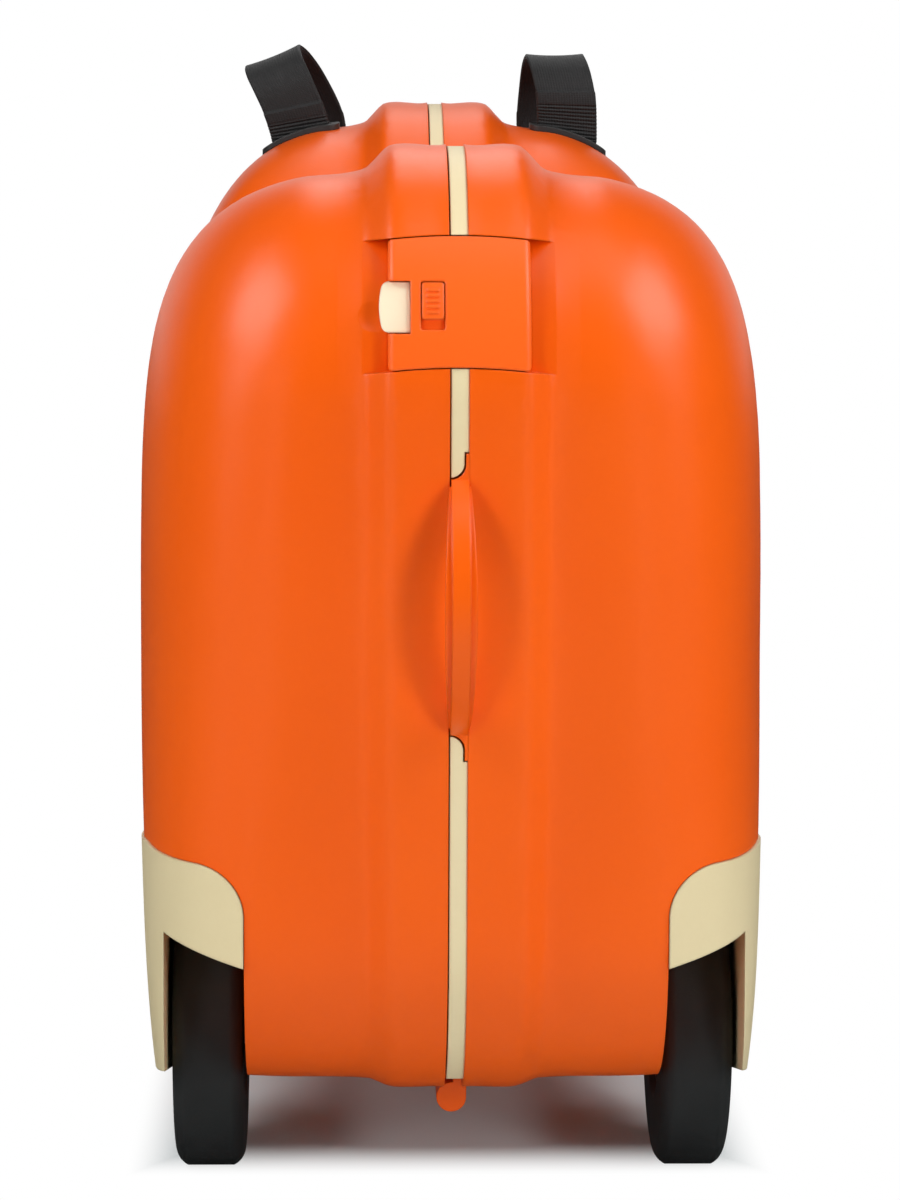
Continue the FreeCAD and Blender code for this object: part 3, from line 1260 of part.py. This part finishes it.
# Front casters
for side, sign in (("right", ""), ("left", "-")):
    swivel = (f"{sign}caster_x", "caster_y")
    wheel_centre = (f"{sign}caster_x", "caster_axle_y", "caster_wheel_radius")
    arms = prism(f"{side}_fork_arms", "x", [
        ("caster_axle_y - fork_foot", "caster_wheel_radius", "fork_sole"),
        ("caster_axle_y + fork_foot", "caster_wheel_radius"),
        ("caster_y + fork_foot", "fork_roof_z"),
        ("caster_y + fork_foot", "fork_roof_z + fork_crown / 2"),
        ("caster_y - fork_back", "fork_roof_z + fork_crown / 2"),
        ("caster_y - fork_back", "fork_roof_z"),
    ], (f"{sign}caster_x - fork_half_width", f"{sign}caster_x + fork_half_width"))
    slot_x = (f"{sign}caster_x - fork_inner_half", f"{sign}caster_x + fork_inner_half")
    slot_y = ("caster_y - 2 * caster_wheel_radius", "caster_y + 2 * caster_wheel_radius")
    slot = box(f"{side}_fork_slot", slot_x, slot_y, ("0", "fork_roof_z"))
    crown = cylinder(f"{side}_fork_crown", "z", "fork_crown_radius",
                     ("fork_roof_z", "fork_roof_z + fork_crown"), swivel)
    stem_top = "fork_roof_z + fork_crown + stem_length"
    stem = cylinder(f"{side}_fork_stem", "z", "stem_radius", ("fork_roof_z", stem_top), swivel)
    axle_ends = (f"{sign}caster_x - fork_half_width", f"{sign}caster_x + fork_half_width")
    bore = cylinder(f"{side}_fork_bore", "x", "caster_axle_radius", axle_ends, wheel_centre[1:])
    fork_body = fuse(f"{side}_fork_body", cut(f"{side}_fork_legs", arms, slot), crown, stem)
    nodes[f"{side}_caster_fork"] = cut(f"{side}_caster_fork", fork_body, bore)
    nodes[f"{side}_caster_axle"] = cylinder(f"{side}_caster_axle", "x", "caster_axle_radius", axle_ends,
                                            wheel_centre[1:])
    clip_z = "cup_top_z + 2 * running_gap"
    nodes[f"{side}_caster_clip"] = turned(f"{side}_caster_clip", "z", [
        (clip_z, "stem_radius"),
        (clip_z, "stem_radius + clip_width"),
        (f"{clip_z} + clip_thickness", "stem_radius + clip_width"),
        (f"{clip_z} + clip_thickness", "stem_radius"),
    ], (swivel[0], swivel[1], "0"))
    half_tyre = "caster_wheel_width / 2"
    nodes[f"{side}_caster_tyre"] = turned(f"{side}_caster_tyre", "x", [
        (f"-{half_tyre}", "caster_rim_radius"),
        (f"-{half_tyre}", "caster_wheel_radius - 2 * bush_wall", "-bush_wall / 2"),
        (f"-{half_tyre} + 2 * bush_wall", "caster_wheel_radius"),
        (f"{half_tyre} - 2 * bush_wall", "caster_wheel_radius", "-bush_wall / 2"),
        (half_tyre, "caster_wheel_radius - 2 * bush_wall"),
        (half_tyre, "caster_rim_radius"),
    ], wheel_centre)
    nodes[f"{side}_caster_hub"] = turned(f"{side}_caster_hub", "x", [
        (f"-{half_tyre}", "caster_axle_radius + running_gap"),
        (f"-{half_tyre}", "caster_rim_radius"),
        (half_tyre, "caster_rim_radius"),
        (half_tyre, "caster_axle_radius + running_gap"),
    ], wheel_centre)

doc.recompute()
for thing in doc.Objects:
    if "Invalid" in thing.State or "Error" in thing.State:
        raise RuntimeError(f"{thing.Label} failed: {thing.State}")

os.makedirs("parts", exist_ok=True)
for name, thing in nodes.items():
    thing.Label = name
    if thing.Shape.isNull() or not thing.Shape.isValid() or not thing.Shape.Solids:
        raise RuntimeError(f"{name} has no valid solid")
    thing.Shape.exportStep(f"parts/{name}.step")
    print(name, len(thing.Shape.Solids), round(thing.Shape.Volume / 1000, 2), "cm3")
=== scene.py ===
import math

import bpy
import numpy as np
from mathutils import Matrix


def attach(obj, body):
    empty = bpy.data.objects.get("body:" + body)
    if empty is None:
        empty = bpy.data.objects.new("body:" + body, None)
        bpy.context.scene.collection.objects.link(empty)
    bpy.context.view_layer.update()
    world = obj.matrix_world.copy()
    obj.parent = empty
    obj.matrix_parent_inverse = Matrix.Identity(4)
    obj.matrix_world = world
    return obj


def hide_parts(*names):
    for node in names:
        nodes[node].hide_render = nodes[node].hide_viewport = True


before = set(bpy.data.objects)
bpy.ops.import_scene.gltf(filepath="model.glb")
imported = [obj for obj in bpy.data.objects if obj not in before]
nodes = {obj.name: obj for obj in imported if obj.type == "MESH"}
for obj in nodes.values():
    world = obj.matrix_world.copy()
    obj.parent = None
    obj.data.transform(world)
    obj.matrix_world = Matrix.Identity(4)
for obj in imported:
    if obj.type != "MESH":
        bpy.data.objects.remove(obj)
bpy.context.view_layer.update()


# The two half shells: deep dishes of satin orange polypropylene, injection-moulded, each with its
# share of the raised band round the closing line. A thin strip lies between them, and they turn on
# the knuckles of a hinge under the floor of the case.
class Wire:
    """One output of a material's nodes. Sums and products of wires add math nodes."""

    def __init__(self, socket):
        self.socket = socket
        self.tree = socket.id_data

    def node(self, kind, settings, inputs, output=0):
        made = self.tree.nodes.new(kind)
        for name, value in settings.items():
            setattr(made, name, value)
        for name, value in inputs.items():
            if isinstance(value, Wire):
                self.tree.links.new(value.socket, made.inputs[name])
            else:
                made.inputs[name].default_value = value
        return Wire(made.outputs[output])

    def math(self, operation, first, second=0.0):
        return self.node("ShaderNodeMath", {"operation": operation}, {0: first, 1: second})

    def __add__(self, other):
        return self.math("ADD", self, other)

    def __sub__(self, other):
        return self.math("SUBTRACT", self, other)

    def __rsub__(self, other):
        return self.math("SUBTRACT", other, self)

    def __mul__(self, other):
        return self.math("MULTIPLY", self, other)

    __radd__ = __add__
    __rmul__ = __mul__


def linear(red, green, blue):
    """A screen colour of 0 to 255 as the linear RGBA that a node takes."""
    colour = []
    for channel in (red, green, blue):
        share = channel / 255
        colour.append(((share + 0.055) / 1.055) ** 2.4 if share > 0.04045 else share / 12.92)
    return [*colour, 1.0]


def start_material(name):
    """A new material, with its Principled node and a wire of places in metres."""
    material = bpy.data.materials.new(name)
    material.use_nodes = True
    surface = material.node_tree.nodes["Principled BSDF"]
    place = Wire(material.node_tree.nodes.new("ShaderNodeTexCoord").outputs["Object"])
    return material, surface, place


def feed(surface, name, wire):
    """Links a wire to one input of a node."""
    wire.tree.links.new(wire.socket, surface.inputs[name])


def noise(place, per_metre, detail=2.0):
    """Soft random spots, so many to the metre."""
    inputs = {"Vector": place, "Scale": per_metre, "Detail": detail}
    return place.node("ShaderNodeTexNoise", {"noise_dimensions": "3D"}, inputs)


def mixed(factor, first, second):
    """A colour between two colours."""
    settings = {"data_type": "RGBA", "clamp_factor": True}
    return factor.node("ShaderNodeMix", settings, {"Factor": factor, 6: first, 7: second}, 2)


def rounded_edge_and_highlight(place, radius):
    """A rounded normal for the sharp edges of a moulding, and how near an edge the place is, the mask of a
    painted highlight along the edges.
    """
    rounded = place.node("ShaderNodeBevel", {"samples": 6}, {"Radius": radius})
    facing = place.node("ShaderNodeNewGeometry", {}, {}, "Normal")
    dot_product = {"operation": "DOT_PRODUCT"}
    alike = place.node("ShaderNodeVectorMath", dot_product, {0: rounded, 1: facing}, "Value")
    return rounded, 1.0 - alike


def bumped(height, strength, depth, normal=None):
    """A normal that follows a height in relief, on top of another normal if one is given."""
    inputs = {"Strength": strength, "Distance": depth, "Height": height}
    if normal is not None:
        inputs["Normal"] = normal
    return height.node("ShaderNodeBump", {}, inputs)


def moulded(name, deep, pale, rough, grain, edge_radius):
    """A moulded plastic: clouded colour, fine spark-eroded grain, and softened edges made paler by a painted
    highlight.
    """
    material, surface, place = start_material(name)
    cloud = noise(place, per_metre=9.0)
    speck = noise(place, per_metre=650.0, detail=3.0)
    rounded, edge_highlight_mask = rounded_edge_and_highlight(place, edge_radius)
    tint = mixed(cloud * 0.8 + speck * 0.2, deep, pale)
    # Paler along the edges: a painted highlight, not wear.
    feed(surface, "Base Color", mixed(edge_highlight_mask * 1.2, tint, pale))
    feed(surface, "Roughness", rough + (cloud - 0.5) * 0.10 + (speck - 0.5) * 0.08)
    feed(surface, "Normal", bumped(speck, strength=grain, depth=0.0002, normal=rounded))
    surface.inputs["Specular IOR Level"].default_value = 0.4
    return material


def finish_with(material, *names):
    """Gives CAD nodes one material, shaded smooth except across sharp edges."""
    for name in names:
        mesh = nodes[name].data
        mesh.materials.clear()
        mesh.materials.append(material)
        mesh.polygons.foreach_set("material_index", [0] * len(mesh.polygons))
        mesh.shade_smooth()
        mesh.set_sharp_from_angle(angle=math.radians(28))


shell_orange = moulded(
    "shell_orange", linear(236, 86, 3), linear(246, 99, 8), rough=0.36, grain=0.10, edge_radius=0.0008
)
finish_with(shell_orange, "right_shell", "left_shell")


# The cream strip in the seam: a moulded polypropylene ring, open at the bottom, that the right half
# holds just below the face of the band. It is cut back for the latch and for the carry handle.
strip_cream = moulded(
    "strip_cream", linear(222, 205, 160), linear(234, 218, 178), rough=0.46, grain=0.10, edge_radius=0.0008
)
finish_with(strip_cream, "seam_strip")


# The carry handle: a bow in the orange of the shells, moulded in one piece, that stands in the seam
# of the rear face. Its root fills the break in the strip and is screwed to bosses in the right half.
finish_with(shell_orange, "carry_handle")


# The hinge pin, the hook's pin, the axles, the bushes and the screws: zinc-plated steel, turned or
# cold-headed. The pins and axles sit in bores of the mouldings, and pan-head screws hold the handle,
# the wheel housings, the caster cups and the latch cover.
def steel(name):
    """Zinc plating, dull and bright in fine spots."""
    material, surface, place = start_material(name)
    spot = noise(place, per_metre=240.0, detail=4.0)
    feed(surface, "Base Color", mixed(spot, linear(168, 170, 172), linear(206, 206, 204)))
    feed(surface, "Roughness", 0.28 + spot * 0.18)
    surface.inputs["Metallic"].default_value = 1.0
    return material


plated_steel = steel("plated_steel")
for name in nodes:
    if name.endswith(("_screws", "_pin", "_axle", "_bush")):
        finish_with(plated_steel, name)


# The latch on the rear hump: a moulded orange cover, screwed to the left half in a gap of the band,
# with a cream release button and a ribbed orange lock slider in it. Behind it a hook of black
# plastic turns on a pin and catches the keeper on the right half.
latch_orange = moulded(
    "latch_orange", linear(246, 92, 20), linear(252, 106, 32), rough=0.36, grain=0.08, edge_radius=0.0012
)
finish_with(latch_orange, "latch_cover", "lock_slider")
button_cream = moulded(
    "button_cream", linear(238, 220, 186), linear(246, 230, 202), rough=0.38, grain=0.06, edge_radius=0.0010
)
finish_with(button_cream, "release_button")
dark_moulding = moulded(
    "dark_moulding", linear(38, 38, 38), linear(52, 52, 52), rough=0.42, grain=0.14, edge_radius=0.0008
)
finish_with(dark_moulding, "latch_hook", "latch_keeper")


# The cream housings over the rear wheels: arches of moulded polypropylene that wrap the rear corners.
# Each is let into a well of its half and held by screws from inside the case.
housing_cream = moulded(
    "housing_cream", linear(214, 196, 152), linear(226, 209, 168), rough=0.44, grain=0.12, edge_radius=0.0012
)
finish_with(housing_cream, "right_wheel_housing", "left_wheel_housing")


# The rear wheels: black rubbery tyres moulded over hard black hubs, which turn on plain bushes. Each
# wheel stands on an axle between the wall of its well and the outer skirt of its housing.
def rubber(name, deep, pale):
    """A tyre's rubber: cloudy, finely pitted and paler along its edges, a painted highlight."""
    material, surface, place = start_material(name)
    cloud = noise(place, per_metre=40.0, detail=3.0)
    pit = noise(place, per_metre=900.0)
    rounded, edge_highlight_mask = rounded_edge_and_highlight(place, radius=0.002)
    tint = mixed(cloud, deep, pale)
    # Paler grey along the edges: a painted highlight.
    feed(surface, "Base Color", mixed(edge_highlight_mask * 0.6, tint, linear(62, 61, 57)))
    feed(surface, "Roughness", 0.50 + cloud * 0.14 + pit * 0.06)
    feed(surface, "Normal", bumped(pit, strength=0.18, depth=0.0003, normal=rounded))
    return material


tyre_black = rubber("tyre_black", linear(33, 34, 34), linear(48, 49, 49))
for side in ("right", "left"):
    finish_with(tyre_black, f"{side}_rear_tyre")
    finish_with(dark_moulding, f"{side}_rear_hub")


# The casters under the front: black moulded forks that swivel in cups let into the floor, each held
# by a clip on its stem. A small wheel, with a tyre like those at the rear, turns between the legs.
for side in ("right", "left"):
    finish_with(dark_moulding, f"{side}_caster_cup", f"{side}_caster_fork", f"{side}_caster_clip")
    finish_with(tyre_black, f"{side}_caster_tyre")
    finish_with(dark_moulding, f"{side}_caster_hub")


# The strap anchors on the front hump: moulded black bezels, two to each loop, that sit on the shells
# round the slots for the webbing. Clamps of the same plastic hold its ends under the skin.
for side in ("right", "left"):
    finish_with(dark_moulding, f"{side}_strap_flanges", f"{side}_strap_clamps")


# The webbing loops on the front hump: black polyester webbing, about 25 mm wide, folded back on
# itself above each bezel and sewn down in cross ribs. So the legs are thicker than the crown.
webbing_width = 0.0248


def between(stations, count):
    """Evenly spaced points of a smooth line through stations, with the way along it."""
    rows = np.array([stations[0] * 2 - stations[1], *stations, stations[-1] * 2 - stations[-2]])
    fine = []
    for before, start, end, after in zip(rows, rows[1:], rows[2:], rows[3:]):
        slope = end - before
        turn = 2 * before - 5 * start + 4 * end - after
        twist = 3 * (start - end) + after - before
        for share in np.linspace(0, 1, 24, endpoint=False):
            fine.append(start + (slope * share + turn * share ** 2 + twist * share ** 3) / 2)
    fine = np.array([*fine, stations[-1]])
    middle = (fine[:, :3] + fine[:, 3:]) / 2
    ways = np.concatenate([[0], np.cumsum(np.linalg.norm(np.diff(middle, axis=0), axis=1))])
    spots = np.linspace(0, ways[-1], count)
    return np.stack([np.interp(spots, ways, column) for column in fine.T], axis=1), spots


def past(limit, way, run):
    """Zero where a limit falls short of a way, rising to one where it lies a run past it."""
    return np.clip((limit - way) / run, 0, 1)


def webbing(name, stations, near_fold, far_fold):
    """A strap along pairs of edge points, from the near bezel over the crown to the far one."""
    half_width = webbing_width / 2
    half_thick = 0.0008
    edge_round = 0.07
    bezel_depth = 0.0100
    fold_thick = 0.0009
    fold_run = 0.0008
    fold_spread = 0.012
    fold_edge = 0.3
    unsewn_end = 0.005
    sewn_run = 0.001
    rib_pitch = 0.0014
    rib_depth = 0.0006
    rib_spread = 0.008
    rib_fullness = 0.7
    cross_bow = 0.0003
    crown_sag = 0.0011
    crown_spread = 0.12
    lines, ways = between([np.array(station) / 1000 for station in stations], 420)
    centres = (lines[:, :3] + lines[:, 3:]) / 2
    across = lines[:, 3:] - lines[:, :3]
    across /= np.linalg.norm(across, axis=1)[:, None]
    along = np.gradient(centres, axis=0)
    outward = np.cross(across, along)
    outward /= np.linalg.norm(outward, axis=1)[:, None]
    total = ways[-1]
    edge_shares = np.linspace(0.9, 1, 4)
    shares = np.concatenate([-edge_shares[::-1], np.linspace(-0.75, 0.75, 11), edge_shares])
    ring = 2 * len(shares)
    corners = []
    faces = []
    places = []
    for row, near in enumerate(ways):
        far = total - near
        clear = past(min(near, far), bezel_depth, fold_run)
        folded = clear * (past(near_fold, near, fold_run) + past(far_fold, far, fold_run))
        sewn_near = past(near_fold - unsewn_end, near, sewn_run)
        sewn_far = past(far_fold - unsewn_end, far, sewn_run)
        sewn = clear * (sewn_near + sewn_far)
        rib = abs(math.sin(math.pi * near / rib_pitch)) ** rib_fullness
        crown = math.exp(-((near / total - 0.5) / crown_spread) ** 2)
        outer = []
        inner = []
        for share in shares:
            into_edge = max(abs(share) - (1 - edge_round), 0) / edge_round
            edge = math.sqrt(max(1 - into_edge ** 2, 0))
            bow = (cross_bow - crown_sag * crown) * (1 - share ** 2)
            top = half_thick * edge + folded * fold_thick * (fold_edge + (1 - fold_edge) * edge) + bow
            top -= sewn * rib_depth * (1 - rib)
            reach = half_width * share * (1 + fold_spread * folded + rib_spread * sewn * rib)
            spot = centres[row] + across[row] * reach
            outer.append(spot + outward[row] * top)
            inner.append(spot + outward[row] * (bow - half_thick * edge))
        corners += outer + inner[::-1]
        places += [(share * half_width, near) for share in (*shares, *shares[::-1])]
        if row:
            above = row * ring
            below = above - ring
            for corner in range(ring):
                beside = (corner + 1) % ring
                faces.append((below + corner, below + beside, above + beside, above + corner))
    faces.append(tuple(range(ring)))
    faces.append(tuple(reversed(range(len(corners) - ring, len(corners)))))
    mesh = bpy.data.meshes.new(name)
    mesh.from_pydata([tuple(corner) for corner in corners], [], faces)
    spread = mesh.uv_layers.new(name="webbing")
    for loop in mesh.loops:
        spread.data[loop.index].uv = places[loop.vertex_index]
    mesh.shade_smooth()
    mesh.set_sharp_from_angle(angle=math.radians(60))
    strap = bpy.data.objects.new(name, mesh)
    bpy.context.scene.collection.objects.link(strap)
    return strap, total


def axis_of(place, axis):
    """One coordinate of a wire of places."""
    return place.node("ShaderNodeSeparateXYZ", {}, {"Vector": place}, axis)


def woven(name):
    """Black polyester webbing: fine warp ribs along the strap, crossed by the weft."""
    warp_pitch = 0.0011
    weft_pitch = 0.0007
    material, surface, place = start_material(name)
    spread = place.node("ShaderNodeUVMap", {"uv_map": "webbing"}, {})
    warp = place.math("SINE", axis_of(spread, "X") * (2 * math.pi / warp_pitch))
    weft = place.math("SINE", axis_of(spread, "Y") * (2 * math.pi / weft_pitch) + warp * 1.2)
    weave = warp * 0.5 + warp * weft * 0.5
    fuzz = noise(place, per_metre=420.0, detail=4.0)
    cloud = noise(place, per_metre=60.0)
    shade = cloud * 0.6 + weave * 0.16 + fuzz * 0.2
    feed(surface, "Base Color", mixed(shade, linear(12, 12, 12), linear(33, 33, 34)))
    feed(surface, "Roughness", 0.55 + fuzz * 0.2)
    feed(surface, "Normal", bumped(weave * 0.5 + fuzz * 0.5, strength=0.5, depth=0.0003))
    surface.inputs["Sheen Weight"].default_value = 0.12
    surface.inputs["Sheen Roughness"].default_value = 0.4
    return material


webbing_black = woven("webbing_black")

# Each row crosses the strap once, in millimetres: the place of its left edge, then of its right edge.
# The two lengths after the rows, in metres, say how far up the near and the far leg the fold reaches.
loop_lines = {
    "right": ([
        (42.8, 171.6, 338.0, 67.4, 175.0, 336.0),
        (42.8, 171.6, 348.5, 67.2, 175.0, 345.5),
        (42.6, 171.0, 358.0, 66.9, 174.4, 356.5),
        (42.2, 171.0, 364.5, 66.4, 174.4, 364.5),
        (41.2, 172.4, 370.0, 65.5, 175.8, 370.5),
        (39.8, 176.4, 376.0, 64.2, 179.8, 376.5),
        (38.3, 184.4, 380.6, 62.9, 187.8, 381.0),
        (38.0, 194.4, 381.4, 62.5, 197.8, 381.6),
        (37.4, 205.4, 377.5, 61.7, 208.8, 377.3),
        (36.8, 212.4, 369.5, 61.0, 215.8, 369.0),
        (36.0, 215.8, 357.0, 60.2, 219.2, 356.0),
        (36.4, 216.2, 345.0, 61.0, 219.6, 343.5),
        (36.6, 216.2, 333.0, 61.2, 219.6, 332.0),
    ], 0.0300, 0.0260),
    "left": ([
        (-67.4, 175.0, 336.0, -42.8, 171.6, 338.0),
        (-66.9, 175.0, 345.0, -42.8, 171.6, 348.5),
        (-68.6, 174.4, 351.5, -44.4, 171.0, 356.0),
        (-71.2, 174.4, 358.5, -47.2, 171.0, 364.0),
        (-74.8, 175.8, 365.5, -50.6, 172.4, 372.5),
        (-77.6, 179.8, 371.5, -54.0, 176.4, 379.5),
        (-78.2, 187.8, 375.6, -56.2, 184.4, 383.8),
        (-77.0, 197.8, 376.5, -56.0, 194.4, 385.0),
        (-73.0, 208.8, 374.0, -52.6, 205.4, 381.5),
        (-67.5, 215.8, 367.5, -47.0, 212.4, 373.0),
        (-61.8, 219.2, 357.0, -39.2, 215.8, 358.5),
        (-60.8, 219.6, 344.0, -36.8, 216.2, 346.0),
        (-61.2, 219.6, 333.0, -36.6, 216.2, 335.0),
    ], 0.0235, 0.0240),
}
for side, (stations, near_fold, far_fold) in loop_lines.items():
    strap, length = webbing(f"{side}_webbing", stations, near_fold, far_fold)
    strap.data.materials.append(webbing_black)
    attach(strap, f"{side}_half")
    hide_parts(f"{side}_strap_loop")


# The studio: a pale painted floor that keeps the shadow under the case, lightened along the middle by
# a painted glow, and fades into white round it, and a white backdrop. Soft boxes stand at both sides,
# above and in front of the case, and a long lens looks at its rear face.
def ramp(value, start, end, low=0.0, high=1.0, shape="SMOOTHSTEP"):
    """Runs from low to high while a value runs from start to end."""
    inputs = {"Value": value, "From Min": start, "From Max": end, "To Min": low, "To Max": high}
    return value.node("ShaderNodeMapRange", {"interpolation_type": shape}, inputs)


def ray_is(wire, kind):
    """One for rays of a kind, and zero for the rest."""
    return wire.node("ShaderNodeLightPath", {}, {}, kind)


white = (1.0, 1.0, 1.0, 1.0)
floor_half = 15.0
floor_mesh = bpy.data.meshes.new("floor")
floor_mesh.from_pydata([
    (-floor_half, -floor_half, 0.0),
    (floor_half, -floor_half, 0.0),
    (floor_half, floor_half, 0.0),
    (-floor_half, floor_half, 0.0),
], [], [(0, 1, 2, 3)])
floor = bpy.data.objects.new("floor", floor_mesh)
bpy.context.scene.collection.objects.link(floor)
floor_paint, floor_surface, floor_place = start_material("floor_paint")
floor_surface.inputs["Base Color"].default_value = (0.68, 0.76, 0.78, 1.0)
floor_surface.inputs["Roughness"].default_value = 0.9
floor_surface.inputs["Specular IOR Level"].default_value = 0.1
along_floor = axis_of(floor_place, "Y")
across_floor = axis_of(floor_place, "X")
across_squared = across_floor * across_floor
fade_behind = ramp(along_floor, -0.120, -0.165)
fade_ahead = ramp(along_floor, 0.20, 0.32)
fade_aside = ramp(across_squared, 0.08 ** 2, 0.11 ** 2)
# A painted glow: a faint white that lightens the shadow along the middle under the case.
painted_glow_in_middle = ramp(across_squared, 0.0002, 0.0018, low=0.06, high=0.0)
fade = fade_behind
for other_fade in (fade_aside, fade_ahead, painted_glow_in_middle):
    fade = fade.math("MAXIMUM", fade, other_fade)
lit_white = fade.node("ShaderNodeEmission", {}, {"Color": white, "Strength": 1.0})
dim_in_reflections = fade.node("ShaderNodeEmission", {}, {"Color": white, "Strength": 0.03})
seen = fade * ray_is(fade, "Is Camera Ray")
painted = Wire(floor_surface.outputs[0])
shown_floor = fade.node("ShaderNodeMixShader", {}, {0: seen, 1: painted, 2: lit_white})
glossy_ray = ray_is(fade, "Is Glossy Ray")
shown_floor = fade.node("ShaderNodeMixShader", {}, {0: glossy_ray, 1: shown_floor, 2: dim_in_reflections})
feed(floor_paint.node_tree.nodes["Material Output"], "Surface", shown_floor)
floor.data.materials.append(floor_paint)

world = bpy.data.worlds.new("studio")
bpy.context.scene.world = world
world.use_nodes = True
backdrop = world.node_tree.nodes["Background"]
backdrop.inputs["Color"].default_value = white
towards = Wire(world.node_tree.nodes.new("ShaderNodeTexCoord").outputs["Generated"])
from_ahead = ramp(axis_of(towards, "Y"), 0.75, 0.98, low=0.02, high=0.8, shape="LINEAR")
from_low = ramp(axis_of(towards, "Z"), 0.40, 0.75, low=1.0, high=0.15, shape="LINEAR")
camera_ray = ray_is(towards, "Is Camera Ray")
feed(backdrop, "Strength", camera_ray + (1.0 - camera_ray) * from_ahead * from_low)


def soft_box(name, place, target, size, watts):
    """A rectangular lamp that points at a target."""
    light = bpy.data.lights.new(name, "AREA")
    light.shape = "RECTANGLE"
    light.size, light.size_y = size
    light.energy = watts
    lamp = bpy.data.objects.new(name, light)
    bpy.context.scene.collection.objects.link(lamp)
    lamp.location = place
    aim = np.array(target) - np.array(place)
    flat = math.hypot(aim[0], aim[1])
    lamp.rotation_euler = (math.atan2(flat, -aim[2]), 0.0, math.atan2(-aim[0], aim[1]))
    return lamp


for side, out, low_watts in (("left", -1, 2.0), ("right", 1, 1.2)):
    shoulder = (out * 0.06, -0.25, 0.28)
    soft_box(f"{side}_high_box", (out * 0.87, -0.47, 1.06), shoulder, size=(0.75, 0.6), watts=8.0)
    flank = (out * 0.08, -0.25, 0.27)
    soft_box(f"{side}_low_box", (out * 1.14, -0.72, 0.58), flank, size=(0.5, 0.6), watts=low_watts)
soft_box("top_box", (0.25, -0.40, 1.35), (0.03, -0.20, 0.28), size=(0.6, 0.6), watts=1.5)
soft_box("front_box", (0.0, 1.00, 1.50), (0.0, 0.10, 0.35), size=(0.55, 0.95), watts=3.6)
for side, out, key_watts in (("right", 1, 9.0), ("left", -1, 5.7)):
    rear_face = (0.0, -0.20, 0.20)
    key = soft_box(f"{side}_key", (out * 0.85, -1.55, 0.42), rear_face, size=(0.3, 0.8), watts=key_watts)
    key.visible_glossy = False

camera = bpy.data.objects.new("camera", bpy.data.cameras.new("camera"))
bpy.context.scene.collection.objects.link(camera)
bpy.context.scene.camera = camera
tipped_down = 0.1195
rolled = -0.0042
turned_right = -0.0239
camera.location = (-0.0315, -1.4156, 0.3456)
camera.rotation_euler = (math.pi / 2 - tipped_down, rolled, turned_right)
camera.data.sensor_width = 36.0
camera.data.lens = 114.36
bpy.context.scene.view_settings.view_transform = "Standard"
